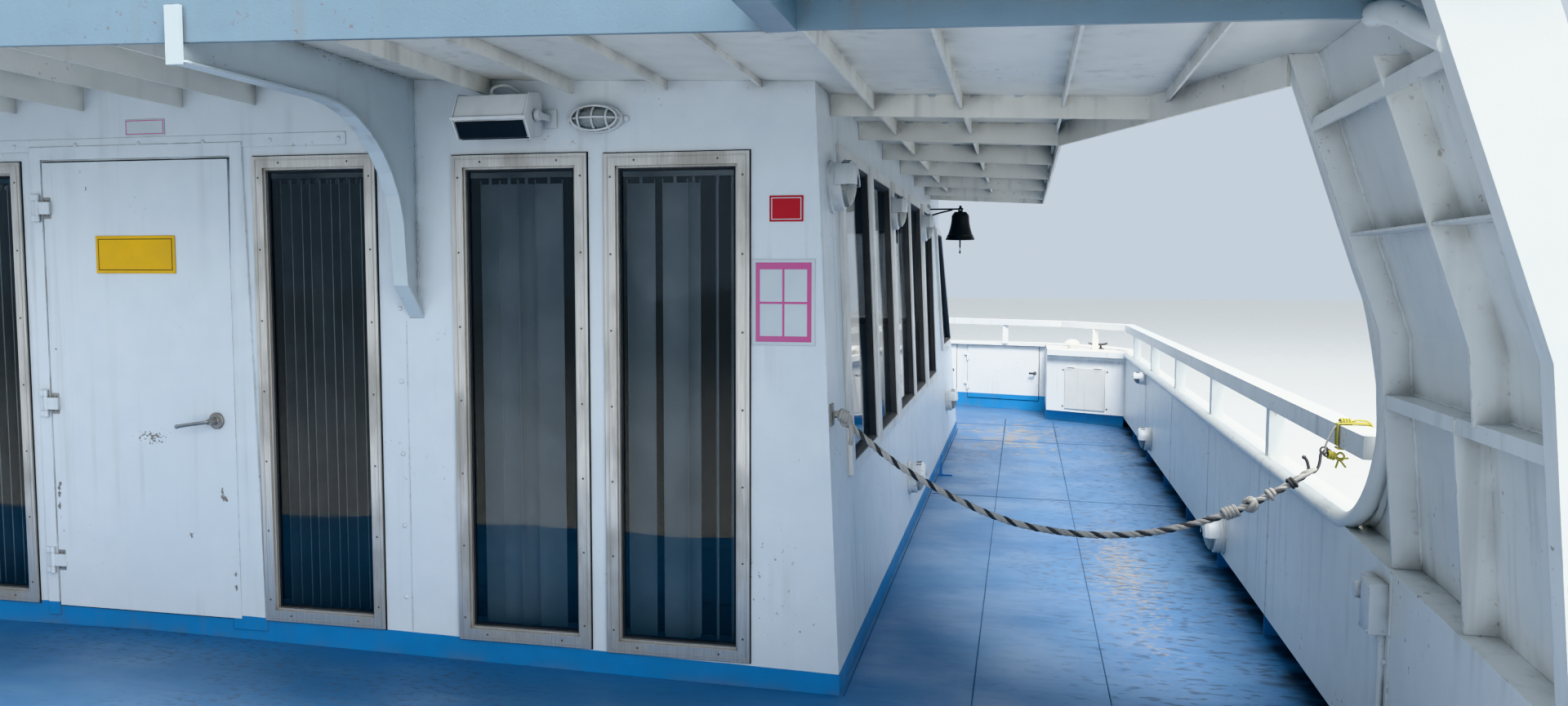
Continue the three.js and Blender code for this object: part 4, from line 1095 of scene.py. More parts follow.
@dataclass(frozen=True)
class PassageRope:
    """Three-strand rope from an eye on the house to a hook on the rail."""

    route: tuple[Point, ...] = (
        (2.9375, 0.062, 1.04), (2.95, 0.062, 1.04), (2.986, 0.066, 1.008), (3.046, 0.076, 0.953),
        (3.153, 0.088, 0.868), (3.262, 0.096, 0.8), (3.385, 0.102, 0.736), (3.506, 0.105, 0.684),
        (3.626, 0.108, 0.65), (3.767, 0.11, 0.631), (3.905, 0.11, 0.628), (4.041, 0.11, 0.642),
        (4.153, 0.11, 0.668), (4.26, 0.11, 0.702), (4.36, 0.11, 0.745), (4.45, 0.11, 0.796),
        (4.53, 0.11, 0.848), (4.582, 0.11, 0.89),
    )
    diameter: float = 0.026
    strands: int = 3
    lay: float = 0.078

    def build(self) -> None:
        line = curved(self.route, 12)
        form = Form()
        for strand in range(self.strands):
            form.dip(strand).add(sweep(disc(self.diameter * 0.27, 7), self.strand(line, strand)))
        rope = form.piece("laid_rope", "structure", "rope", ROPE_PALE, ROPE_PALE, ROPE_DARK)
        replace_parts(rope, "passage_rope")
        knots = self.knots().piece("rope_knots", "structure", "rope", ROPE_PALE, ROPE_DARK)
        hook = self.hook().piece("rope_hook_and_ring", "structure", "galvanised", IRON)
        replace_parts(hook, "rope_hook")
        self.lashing().piece("rail_lashing", "structure", "rope", LASHING, ROPE_PALE)

    def knots(self) -> Form:
        """Draws the knot at the eye, the whipping, the round knot and the loop through the hook."""
        form = Form()
        form.add(coil(0.0175, 3.0, 0.012, 0.0075), facing((0.9, 0.1, -0.42), (2.953, 0.062, 1.043)))
        form.add(coil(0.017, 2.0, 0.013, 0.008), facing((0.2, 0.9, -0.2), (2.975, 0.052, 1.022)))
        form.add(sweep(disc(0.009, 8), curved([
            (2.985, 0.058, 1.02), (3.0, 0.035, 1.0), (3.004, 0.028, 0.965), (3.0, 0.03, 0.935)])))
        form.add(coil(0.0165, 4.0, 0.0125, 0.0075), facing((1.0, 0.0, 0.42), (4.305, 0.11, 0.722)))
        for turn in (0.0, 60.0, 120.0):
            form.add(coil(0.02, 1.0, 0.003, 0.009), facing((1.0, 0.0, 0.45), (4.392, 0.11, 0.762), math.radians(turn))
                     @ Matrix.Rotation(math.radians(52), 4, "X"))
        form.add(coil(0.016, 1.5, 0.014, 0.007), facing((1.0, 0.0, 0.5), (4.448, 0.11, 0.795)))
        form.dip(1).add(coil(0.0155, 2.0, 0.011, 0.006), facing((1.0, 0.0, 0.55), (4.515, 0.11, 0.838)))
        form.dip(0).add(sweep(disc(0.0062, 8), curved([
            (4.528, 0.101, 0.852), (4.556, 0.099, 0.869), (4.58, 0.1, 0.884), (4.592, 0.103, 0.892), (4.597, 0.11, 0.894),
            (4.592, 0.117, 0.892), (4.58, 0.12, 0.884), (4.556, 0.121, 0.869), (4.528, 0.119, 0.852)])))
        return form

    def hook(self) -> Form:
        """Draws the open hook and the ring that it hangs from."""
        form = Form()
        form.add(sweep(disc(0.0052, 10), curved([
            (4.618, 0.11, 0.957), (4.612, 0.11, 0.945), (4.61, 0.11, 0.92), (4.604, 0.11, 0.898), (4.593, 0.11, 0.884),
            (4.581, 0.11, 0.884), (4.575, 0.11, 0.9), (4.569, 0.11, 0.922), (4.56, 0.11, 0.934)])))
        form.add(ball(0.0075, 12, 8), at(4.5595, 0.11, 0.9345))
        for place, turn in (((4.622, 0.11, 0.96), 0.0), ((4.632, 0.11, 0.952), 70.0)):
            ring = [(0.012 * math.cos(i * math.tau / 20), 0.012 * math.sin(i * math.tau / 20), 0.0) for i in range(20)]
            form.add(sweep(disc(0.0034, 8), ring, None, True), facing((0.0, 1.0, 0.0), place, math.radians(turn)))
        return form

    def lashing(self) -> Form:
        """Draws the thin line round the rail, its knots and its ends."""
        form = Form()
        for y in (0.094, 0.104, 0.114):
            turns = [(4.659, y, 0.982), (4.659, y, 1.044), (4.668, y, 1.0555), (4.752, y, 1.0555), (4.761, y, 1.044),
                     (4.761, y, 0.982), (4.752, y, 0.9695), (4.668, y, 0.9695)]
            form.add(sweep(disc(0.0035, 7), curved(turns, 4, True)))
        form.add(coil(0.009, 4.0, 0.009, 0.0042), facing((1.0, 0.0, 0.0), (4.668, 0.105, 1.061)))
        form.add(sweep(disc(0.0032, 7), curved([
            (4.7, 0.105, 1.062), (4.725, 0.1, 1.067), (4.752, 0.095, 1.064), (4.766, 0.092, 1.045), (4.767, 0.09, 1.01)])))
        form.add(coil(0.011, 3.0, 0.009, 0.0042), facing((1.0, 0.2, -0.3), (4.632, 0.108, 0.948)))
        form.add(sweep(disc(0.0038, 7), curved([
            (4.655, 0.108, 0.94), (4.67, 0.1, 0.955), (4.682, 0.095, 0.945), (4.675, 0.098, 0.93), (4.656, 0.106, 0.936)])))
        for end in ((4.69, 0.1, 0.905), (4.662, 0.115, 0.9), (4.7, 0.112, 0.935)):
            form.add(sweep(disc(0.0036, 7), curved([(4.65, 0.108, 0.941), (4.667, 0.107, 0.934), end])))
        form.dip(1).add(sweep(disc(0.0036, 7), curved([
            (4.625, 0.11, 0.96), (4.628, 0.108, 0.985), (4.64, 0.106, 1.015), (4.655, 0.105, 1.045), (4.668, 0.105, 1.058)])))
        return form

    def strand(self, line: list[Vector], strand: int) -> list[Vector]:
        """The winding line of one strand.

        Args:
            line: the rope's centreline.
            strand: which strand.

        Returns:
            The strand's points.
        """
        made, gone = [], 0.0
        places = stations(line, None, False)
        for i, place in enumerate(places):
            if i:
                gone += (line[i] - line[i - 1]).length
            turn = math.tau * (gone / self.lay + strand / self.strands)
            made.append(place @ Vector((0.235 * self.diameter * math.cos(turn), 0.235 * self.diameter * math.sin(turn), 0.0)))
        return made


# Aft wall of the deckhouse


AFT = Matrix.Rotation(math.radians(90), 4, "X")


@dataclass(frozen=True)
class AftWallTrim:
    """Door surround, lapped seams with their bolts, and the blank signs."""

    surround: float = 0.029
    proud: float = 0.008
    seam: float = 2.118
    seam_reach: float = 0.985
    bolt_pitch: float = 0.309
    post_seam: float = 1.232
    bolt: float = 0.009

    def build(self) -> None:
        """Makes the trim on the wall."""
        form = Form()
        x, top, foot = 0.487, 2.059, 0.075
        section = [(-self.surround, 0.0), (self.surround, 0.0), (self.surround - 0.002, self.proud), (0.002 - self.surround, self.proud)]
        form.add(sweep(section, [(-x, 0.0, foot), (-x, 0.0, top), (x, 0.0, top), (x, 0.0, foot)], (0.0, -1.0, 0.0)))
        form.add(block((2 * self.seam_reach, 0.004, 0.052), 0.0015, 1), at(0.0, -0.001, self.seam - 0.026))
        bolts = [at(-0.901 + i * self.bolt_pitch, -0.003, 2.091) for i in range(7)]
        for side in (1, -1):
            bolts += [at(side * (self.post_seam - 0.027), -0.001, 0.26 + 0.29 * i) for i in range(5)]
            form.add(block((0.0035, 0.003, 1.25), 0.001, 1), at(side * self.post_seam, -0.001, 0.745))
        form.add(self.bolt_head(), *bolts)
        form.piece("aft_wall_trim", "structure", "white_paint", WALL)
        self.sign("pale_sign", "structure", (0.06, -0.001, 2.157), (0.19, 0.066), SIGN_WHITE, SIGN_PINK)
        self.sign("red_sign", "structure", (2.765, -0.001, 1.795), (0.125, 0.094), SIGN_RED, SIGN_WHITE)
        self.sign("door_sign", "aft_door", (0.0, -0.011, 1.634), (0.385, 0.156), SIGN_YELLOW, SIGN_DARK)
        self.notice(2.755, 1.455)

    def bolt_head(self) -> Mesh:
        """A painted dome-headed bolt that points aft."""
        r = self.bolt
        head = turned([(0.0, 0.006), (r * 0.6, 0.005), (r, 0.0015), (r, -0.002), (0.0, -0.002)], 12)
        bmesh.ops.transform(head, matrix=AFT, verts=head.verts[:])
        return head

    def sign(self, name: str, body: str, place: Point, size: Flat, field: Finish, line: Finish) -> None:
        """Makes a blank plate with a line inside its edge.

        Args:
            name: its name.
            body: the body that it rides on.
            place: the middle of its back.
            size: width and height.
            field: the plate's finish.
            line: the line's finish.
        """
        x, y, z = place
        wide, high = size
        form = Form()
        form.add(block((wide, 0.003, high), 0.001, 1), at(x, y - 0.0015, z))
        across, rise = wide / 2 - 0.09 * high, high / 2 - 0.09 * high
        rim = [(x - across, y, z - rise), (x + across, y, z - rise), (x + across, y, z + rise), (x - across, y, z + rise)]
        form.dip(1).add(sweep([(-0.0016, 0.002), (0.0016, 0.002), (0.0016, 0.0036), (-0.0016, 0.0036)], rim, (0, -1, 0), True))
        form.piece(name, body, "white_paint", field, line)

    def notice(self, x: float, z: float) -> None:
        """Makes the notice with four blank fields in a coloured border.

        Args:
            x: its middle across.
            z: its middle height.
        """
        form = Form()
        form.add(block((0.235, 0.003, 0.315), 0.001, 1), at(x, -0.0015, z))
        form.dip(1).add(block((0.208, 0.002, 0.29), 0.0006, 1), at(x, -0.003, z))
        fields = [at(x + across * 0.046, -0.004, z - 0.002 + rise * 0.063) for across in (-1, 1) for rise in (-1, 1)]
        form.dip(0).add(block((0.084, 0.002, 0.118), 0.0006, 1), *fields)
        form.piece("notice", "structure", "white_paint", SIGN_WHITE, SIGN_PINK)


@dataclass(frozen=True)
class AftWindow:
    """One tall window of the aft wall: glazing bead, seal, screws and the slats behind it, with closed near-black slats
    further in that paint the shade inside the room.
    """

    number: int
    inner: float
    outer: float
    low: float
    high: float
    slats: tuple[tuple[float, float, float], ...]
    cloth: Finish = BLIND
    lead: float = 0.065
    frame: float = 0.046

    def build(self) -> None:
        """Makes the window's small parts on both sides."""
        pair(f"glazing_bead_{self.number}", self.bead, "aluminium", ALUMINIUM, RUBBER, SCREW)
        pair(f"slats_{self.number}", self.blind, "vinyl", self.cloth, ROOM_SHADE_SLAT, SLAT_EDGE)

    def loop(self, inset: float, y: float) -> list[Point]:
        """A loop inside the frame.

        Args:
            inset: how far inside the frame's outer edge.
            y: where it lies.

        Returns:
            Its corners.
        """
        left, right, low, high = self.inner + inset, self.outer - inset, self.low + inset, self.high - inset
        return [(left, y, low), (right, y, low), (right, y, high), (left, y, high)]

    def bead(self) -> Form:
        """Draws the bead, the seals and the screws."""
        form = Form()
        aft = (0.0, -1.0, 0.0)
        form.add(sweep([(-0.006, -0.01), (0.006, -0.01), (0.004, 0.002), (-0.006, 0.002)], self.loop(self.frame + 0.004, 0.0), aft, True))
        form.add(sweep([(-0.0015, 0.01), (0.0015, 0.01), (0.0015, 0.0135), (-0.0015, 0.0135)], self.loop(0.014, 0.0), aft, True))
        form.dip(1)
        form.add(sweep([(-0.006, -0.018), (0.006, -0.018), (0.005, -0.01), (-0.005, -0.01)], self.loop(self.frame + 0.013, 0.0), aft, True))
        form.add(sweep([(-0.003, 0.0), (0.002, 0.0), (0.002, 0.003), (-0.003, 0.003)], self.loop(-0.001, 0.0), aft, True))
        heads = []
        for x in (self.inner + 0.026, self.outer - 0.026):
            heads += [at(x, -0.0125, self.low + 0.09 + i * 0.288) for i in range(7)]
        for x in (self.inner + 0.12, self.outer - 0.12):
            heads += [at(x, -0.0125, z) for z in (self.low + 0.026, self.high - 0.026)]
        screw = drum(0.0045, 0.002, 0.0035, 10)
        bmesh.ops.transform(screw, matrix=AFT, verts=screw.verts[:])
        form.dip(2).add(screw, *heads)
        return form

    def blind(self) -> Form:
        """Draws upright slats, each with its carrier and pale strips along its edges, and a row of closed near-black
        slats behind them as painted shade of the room.
        """
        form = Form()
        for x, width, turn in self.slats:
            arc = [(width * (i / 6 - 0.5), 0.006 * math.cos((i / 6 - 0.5) * 2.6)) for i in range(7)]
            back = [(u, v + 0.0012) for u, v in reversed(arc)]
            place = at(x, 0.13, self.low + 0.03) @ Matrix.Rotation(math.radians(turn), 4, "Z")
            form.add(plate([*arc, *back], self.high - self.low - 0.13), place)
            form.add(block((0.012, 0.004, 0.03), 0.001, 1), at(x, 0.13, self.high - 0.09))
        # Painted shade: a row of closed near-black slats further in stands for the dark room and closes the view
        # through the glass.
        start, tall = self.inner - self.lead, self.high - self.low - 0.1
        middle = self.low + 0.03 + tall / 2
        step = (self.outer - 0.01 - start) / 7
        closed = [at(start + step * (i + 0.5), 0.19 + 0.004 * (i % 2), middle) for i in range(7)]
        form.dip(1).add(block((step + 0.012, 0.003, tall), 0.001, 1), *closed)
        edges = []
        for x, width, turn in self.slats:
            place = at(x, 0.13, middle) @ Matrix.Rotation(math.radians(turn), 4, "Z")
            edges += [place @ at(side * width / 2, -0.001, 0.0) for side in (-1, 1)]
        form.dip(2).add(block((0.0022, 0.0035, tall - 0.03)), *edges)
        return form


@dataclass(frozen=True)
class BlindRail:
    """The rail that the slats hang from, along the three windows."""

    start: float = 0.57
    end: float = 2.625

    def build(self) -> None:
        """Makes the rail on both sides in place of the folded blinds."""
        pair("blind_rail", self.rail, "vinyl", BLIND, replaces="blinds_{side}")

    def rail(self) -> Form:
        """Draws the rail with its brackets."""
        form = Form()
        form.add(block((self.end - self.start, 0.042, 0.03), 0.003), at((self.start + self.end) / 2, 0.13, 1.985))
        form.add(block((0.03, 0.07, 0.05), 0.003), *[at(x, 0.098, 2.01) for x in (0.62, 1.3, 2.0, 2.58)])
        return form


@dataclass(frozen=True)
class DoorFittings:
    """Hinge leaves and the lever of the aft door."""

    heights: tuple[float, ...] = (0.32, 1.0, 1.83)
    hinge: float = -0.47
    lever: Flat = (0.363, 0.949)

    def build(self) -> None:
        """Makes the fittings that ride on the door."""
        form = Form()
        screws = []
        for z in self.heights:
            form.add(block((0.034, 0.0035, 0.088), 0.001, 1), at(self.hinge + 0.04, -0.0115, z))
            screws += [at(self.hinge + 0.04 + dx, -0.0138, z + dz) for dx in (-0.008, 0.008) for dz in (-0.032, 0.0, 0.032)]
        head = drum(0.0035, 0.0015, 0.0028, 8)
        bmesh.ops.transform(head, matrix=AFT, verts=head.verts[:])
        form.dip(1).add(head, *screws)
        form.piece("hinge_leaves", "aft_door", "galvanised", GALVANISED, SCREW)
        x, z = self.lever
        rose = [(0.0, 0.0), (0.034, 0.0), (0.034, 0.006), (0.031, 0.0095), (0.016, 0.0105), (0.013, 0.014), (0.0125, 0.05), (0.0, 0.05)]
        lever = Form().add(turned(rose, 32), at(x, -0.0103, z) @ AFT)
        grip = curved([
            (x, -0.05, z), (x - 0.006, -0.067, z), (x - 0.028, -0.073, z - 0.003), (x - 0.083, -0.074, z - 0.011),
            (x - 0.141, -0.071, z - 0.021)])
        lever.add(sweep([(0.0095 * u, 0.0065 * v) for u, v in disc(1.0, 12)], grip))
        lever.add(ball(0.0095, 12, 8), at(x - 0.141, -0.071, z - 0.021))
        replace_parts(lever.piece("lever_handle", "aft_door", "galvanised", GALVANISED), "aft_door_lever")


@dataclass(frozen=True)
class Floodlight:
    """Hooded floodlight with black glass in its lower faces, on side brackets."""

    start: float = 1.555
    end: float = 1.835

    def build(self) -> None:
        """Makes the light on both sides."""
        pair("hooded_light", self.draw, "white_paint", FITTING, BLACK_GLASS_AND_SHADE, replaces="floodlight_{side}")

    def draw(self) -> Form:
        """Draws the hood, the glass, the end plates, the brackets and the conduit."""
        form = Form()
        length, middle = self.end - self.start, (self.start + self.end) / 2
        hood = [(-0.05, 2.205), (-0.075, 2.222), (-0.155, 2.212), (-0.196, 2.13), (-0.19, 2.115), (-0.15, 2.055), (-0.06, 2.075)]
        along = Matrix(((0, 0, 1, 0), (1, 0, 0, 0), (0, 1, 0, 0), (0, 0, 0, 1)))
        form.add(plate(hood, length, 0.005), at(self.start, 0, 0) @ along)
        rim = [(y * 1.03 + 0.003, (z - 2.135) * 1.06 + 2.135) for y, z in hood]
        form.add(plate(rim, 0.007, 0.002), *[at(x, 0, 0) @ along for x in (self.start - 0.007, self.end)])
        form.add(block((length + 0.02, 0.012, 0.014), 0.003), at(middle, -0.198, 2.122))
        for x in (self.start - 0.02, self.end + 0.02):
            form.add(drum(0.024, 0.018, 0.019, 20, 0.003), facing((1, 0, 0), (x, -0.115, 2.14)))
            form.add(block((0.006, 0.115, 0.026), 0.002), at(x, -0.06, 2.14))
            form.add(block((0.05, 0.006, 0.07), 0.002), at(x, -0.004, 2.14))
        cable = [(1.66, -0.09, 2.2), (1.66, -0.085, 2.245), (1.7, -0.05, 2.262), (1.74, -0.02, 2.235), (1.76, 0.01, 2.22)]
        form.add(sweep(disc(0.006, 8), curved(cable)))
        form.add(drum(0.012, 0.02, 0.01, 12, 0.002), at(1.66, -0.09, 2.218))
        front = at(middle, -0.1725, 2.0835) @ Matrix.Rotation(math.radians(-56.3), 4, "X")
        under = at(middle, -0.104, 2.0625) @ Matrix.Rotation(math.radians(12.5), 4, "X")
        form.dip(1).add(block((length - 0.012, 0.066, 0.004), 0.001, 1), front)
        form.add(block((length - 0.012, 0.082, 0.004), 0.001, 1), under)
        return form


@dataclass(frozen=True)
class CageLight:
    """Oval bulkhead light under a cage of ribs."""

    x: float = 2.045
    z: float = 2.133
    half: Flat = (0.104, 0.052)

    def build(self) -> None:
        """Makes the light on both sides."""
        pair("bulkhead_light", self.draw, "galvanised", FITTING, LENS, replaces="cage_light_{side}")

    def draw(self) -> Form:
        """Draws the oval base, the lens and the cage."""
        form = Form()
        wide, high = self.half
        face = at(self.x, 0.0, self.z) @ AFT
        form.add(drum(1.0, 0.024, 0.96, 40), face @ at(0, 0, 0.012) @ Matrix.Diagonal((wide, high, 1.0, 1.0)))
        lens = face @ at(0, 0, 0.02) @ Matrix.Diagonal((0.83 * wide, 0.72 * high, 0.05, 1.0))
        form.dip(1).add(ball(1.0, 28, 14), lens).dip(0)
        wire = disc(0.0042, 8)
        for height, share in ((0.026, 0.95), (0.05, 0.86)):
            ring = [
                face @ Vector((share * wide * math.cos(t), share * high * math.sin(t), height))
                for t in (i * math.tau / 36 for i in range(36))]
            form.add(sweep(wire, ring, None, True))
        for across in (-0.055, 0.0, 0.055):
            reach = 0.9 * high * math.sqrt(1 - (across / wide) ** 2)
            hoop = [(across, reach * math.cos(i * math.pi / 14), 0.012 + 0.062 * math.sin(i * math.pi / 14)) for i in range(15)]
            form.add(sweep(wire, [face @ Vector(point) for point in hoop]))
        hoop = [(0.94 * wide * math.cos(i * math.pi / 20), 0.0, 0.012 + 0.064 * math.sin(i * math.pi / 20)) for i in range(21)]
        form.add(sweep(wire, [face @ Vector(point) for point in hoop]))
        form.add(drum(0.012, 0.014, 0.01, 14, 0.002), *[face @ at(dx, 0, 0.007) for dx in (-0.112, 0.112)])
        return form


# Side passages


WALL_LAMPS = ((0.25, 1.89, 0.098), (2.1, 1.89, 0.092), (3.925, 1.89, 0.098), (2.65, 0.34, 0.098), (6.0, 0.44, 0.098))
BULWARK_LAMPS = ((2.15, 0.192, 0.098), (5.5, 0.215, 0.098), (6.0, 0.672, 0.055))


@dataclass(frozen=True)
class EyelidLamp:
    """Round deck lamp with a hood over the upper half of its lens, over the plain lamp of the frame."""

    name: str
    x: float
    y: float
    z: float
    seat: float
    outward: int = 1
    over: float = 0.0015
    depth: float = 0.1065

    def build(self) -> None:
        """Makes the lamp on both sides."""
        pair(self.name, self.draw, "white_paint", FITTING, LENS, RUBBER)

    def draw(self) -> Form:
        """Draws the drum, the lens and the hood with its slots."""
        form = Form()
        r, deep = self.seat + self.over, self.depth
        lean = 0.045 if self.outward > 0 else 0.0
        place = facing((self.outward, 0.0, lean), (self.x, self.y, self.z))
        base = [(0.0, 0.0), (r, 0.0), (r, 0.012), (0.93 * r, 0.016), (0.93 * r, 0.5 * deep), (0.84 * r, 0.54 * deep), (0.0, 0.54 * deep)]
        lens = [
            (0.0, 0.5 * deep), (0.81 * r, 0.5 * deep), (0.78 * r, 0.69 * deep), (0.55 * r, 0.83 * deep),
            (0.25 * r, 0.92 * deep), (0.0, 0.94 * deep)]
        form.add(turned(base, 40), place)
        form.dip(1).add(turned(lens, 32), place)
        form.dip(0).add(self.hood(), place)
        slots = [place @ Matrix.Rotation(math.radians(62 + 14 * i), 4, "Z") @ at(0.955 * r, 0.0, 0.66 * deep) for i in range(5)]
        form.dip(2).add(block((0.004, 0.006, 0.3 * deep), 0.001, 1), *slots)
        return form

    def hood(self) -> Mesh:
        """The hood: a closed section turned through the upper half."""
        r, deep = self.seat + self.over, self.depth
        outline = [
            (0.95 * r, 0.3 * deep), (0.96 * r, 0.8 * deep), (0.8 * r, 0.98 * deep), (0.45 * r, 1.04 * deep),
            (0.44 * r, 1.0 * deep), (0.77 * r, 0.94 * deep), (0.9 * r, 0.78 * deep), (0.9 * r, 0.3 * deep)]
        part = bmesh.new()
        points = [part.verts.new((radius, 0.0, height)) for radius, height in outline]
        edges = [part.edges.new(two) for two in zip(points, points[1:] + points[:1])]
        bmesh.ops.spin(
            part, geom=points + edges, cent=(0, 0, 0), axis=(0, 0, 1), angle=math.pi, steps=24, use_merge=False)
        bmesh.ops.holes_fill(part, edges=part.edges[:], sides=0)
        bmesh.ops.recalc_face_normals(part, faces=part.faces[:])
        return part


@dataclass(frozen=True)
class SideWindows:
    """Metal surrounds and thick black seals of the side windows."""

    spans: tuple[Flat, ...] = ((0.45, 1.15), (1.33, 2.0), (2.2, 2.97), (3.1, 3.79), (4.06, 4.73))
    sill: float = 0.8
    head: float = 2.02
    quarter: tuple[Flat, ...] = ((5.33, 1.9), (5.79, 1.9), (6.56, 0.96), (5.64, 0.96))
    lean: float = 0.045

    def build(self) -> None:
        """Makes the surrounds on both sides."""
        pair("side_window_seals", self.draw, "aluminium", PALE_METAL, RUBBER)

    def draw(self) -> Form:
        """Draws a surround and a seal round each window."""
        form = Form()
        out = tuple(Vector((1.0, 0.0, self.lean)).normalized())
        shapes = [((y0, self.head), (y1, self.head), (y1, self.sill), (y0, self.sill)) for y0, y1 in self.spans]
        for shape in [*shapes, self.quarter]:
            loop = [(2.97 - self.lean * z, y, z) for y, z in shape]
            form.dip(0).add(sweep([(-0.004, 0.0), (0.05, 0.0), (0.046, 0.02), (-0.002, 0.024)], loop, out, True))
            form.dip(1).add(sweep([(-0.024, -0.012), (-0.004, -0.012), (-0.004, 0.018), (-0.016, 0.008)], loop, out, True))
        return form


@dataclass(frozen=True)
class Bell:
    """Ship's bell on its arm; the clapper swings with its pull."""

    x: float = 3.125
    y: float = 4.75
    lip: float = 1.835
    crown: float = 2.05
    mouth: float = 0.112
    arm: float = 2.07

    def build(self) -> None:
        """Makes the bell, the arm and the clapper."""
        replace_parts(self.shell().piece("ships_bell", "structure", "galvanised", BRONZE), "bell")
        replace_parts(self.bracket().piece("bell_bracket", "structure", "galvanised", BRONZE, FITTING), "bell_arm")
        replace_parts(self.tongue().piece("bell_tongue", "bell_clapper", "galvanised", BRONZE), "bell_clapper")

    def shell(self) -> Form:
        """Draws the bell with its shoulder rings and thick lip."""
        top, lip, mouth = self.crown, self.lip, self.mouth
        profile = [
            (0.0, top + 0.014), (0.016, top + 0.014), (0.018, top + 0.002), (0.045, top - 0.001), (0.05, top - 0.006),
            (0.052, top - 0.012), (0.059, top - 0.016), (0.061, top - 0.024), (0.066, top - 0.028), (0.067, top - 0.05),
            (0.07, top - 0.085), (0.0765, top - 0.118), (0.086, top - 0.152), (0.094, lip + 0.04), (0.1, lip + 0.036),
            (0.1, lip + 0.028), (0.106, lip + 0.016), (mouth, lip + 0.004), (mouth - 0.001, lip), (mouth - 0.01, lip),
            (mouth - 0.02, lip + 0.022), (0.074, top - 0.14), (0.063, top - 0.1), (0.059, top - 0.05),
            (0.045, top - 0.022), (0.0, top - 0.021)]
        form = Form().add(turned(profile, 40), at(self.x, self.y, 0.0))
        ring = [(0.016 * math.cos(i * math.tau / 16), 0.0, 0.011 * math.sin(i * math.tau / 16)) for i in range(16)]
        return form.add(sweep(disc(0.0045, 8), ring, None, True), at(self.x, self.y, top + 0.02))

    def bracket(self) -> Form:
        """Draws the arm with its wall plate, its stay and bolts."""
        form = Form()
        reach, wall = self.x + 0.022, 2.97 - 0.045 * 2.07
        form.add(block((reach - wall, 0.02, 0.011), 0.003), at((reach + wall) / 2, self.y, self.arm + 0.003))
        form.add(sweep(disc(0.006, 8), curved([
            (wall + 0.006, self.y, 2.0), (wall + 0.04, self.y, 2.03), (self.x - 0.06, self.y, self.arm - 0.002)])))
        form.add(drum(0.011, 0.02, None, 6, 0.002), at(self.x, self.y, self.arm + 0.018))
        form.dip(1).add(block((0.012, 0.08, 0.12), 0.004), facing((0, 0, 1), (wall + 0.006, self.y, 2.05)))
        bolts = [facing((1, 0, 0), (wall + 0.014, self.y + dy, 2.05 + dz)) for dy in (-0.027, 0.027) for dz in (-0.043, 0.043)]
        return form.add(drum(0.008, 0.007, None, 6, 0.0015), *bolts)

    def tongue(self) -> Form:
        """Draws the clapper with its ball and its pull."""
        top, lip = self.crown, self.lip
        profile = [
            (0.0, lip - 0.108), (0.005, lip - 0.105), (0.0065, lip - 0.096), (0.0045, lip - 0.086), (0.0022, lip - 0.08),
            (0.0022, lip - 0.062), (0.0055, lip - 0.058), (0.0055, lip - 0.006), (0.013, lip + 0.004), (0.0165, lip + 0.016),
            (0.012, lip + 0.028), (0.005, lip + 0.034), (0.0045, top - 0.042), (0.0012, top - 0.0345), (0.0, top - 0.0345)]
        return Form().add(turned(profile, 20), at(self.x, self.y, 0.0))


@dataclass(frozen=True)
class DeckPin:
    """Slim blue post with a cross foot beside the house."""

    x: float = 3.01
    y: float = 4.64
    height: float = 0.157

    def build(self) -> None:
        """Makes the post on both sides."""
        pair("deck_pin", self.draw, "white_paint", TRIM_BLUE)

    def draw(self) -> Form:
        """Draws the foot, the post and its head."""
        form = Form()
        form.add(block((0.11, 0.024, 0.012), 0.004), at(self.x + 0.03, self.y, 0.006))
        form.add(drum(0.0075, self.height, 0.0065, 12, 0.002), at(self.x, self.y, self.height / 2))
        form.add(drum(0.012, 0.02, 0.008, 12, 0.003), at(self.x, self.y, 0.02))
        return form.add(ball(0.01, 12, 8), at(self.x, self.y, self.height))


@dataclass(frozen=True)
class DeckSeams:
    """Welded seams of the deck plating and the toe line along the house."""

    lengthwise: tuple[Flat, ...] = ((3.45, 8.25), (3.95, 8.15))
    crosswise: tuple[tuple[float, float, float], ...] = (
        (3.9, 3.0, 4.64), (-1.9, 0.0, 4.64), (7.75, 0.0, 4.0), (-0.95, 0.0, 4.64), (6.6, 3.0, 4.64))
    toe: float = 2.985

    def build(self) -> None:
        """Makes the seams on both sides."""
        pair("deck_seams", self.draw, "deck_paint", SEAM)

    def draw(self) -> Form:
        """Draws low rounded strips on the deck."""
        form, up = Form(), (0.0, 0.0, 1.0)
        section = strip(0.005, 0.0028)
        for x, end in self.lengthwise:
            form.add(sweep(section, [(x, y, deck_at(x)) for y in (-2.19, 0.0, 4.0, end)], up))
        for y, near, far in self.crosswise:
            form.add(sweep(section, [(x, y, deck_at(x)) for x in (near, far)], up))
        form.add(sweep(section, [(self.toe, y, deck_at(self.toe)) for y in (0.0, 3.0, 7.3)], up))
        return form


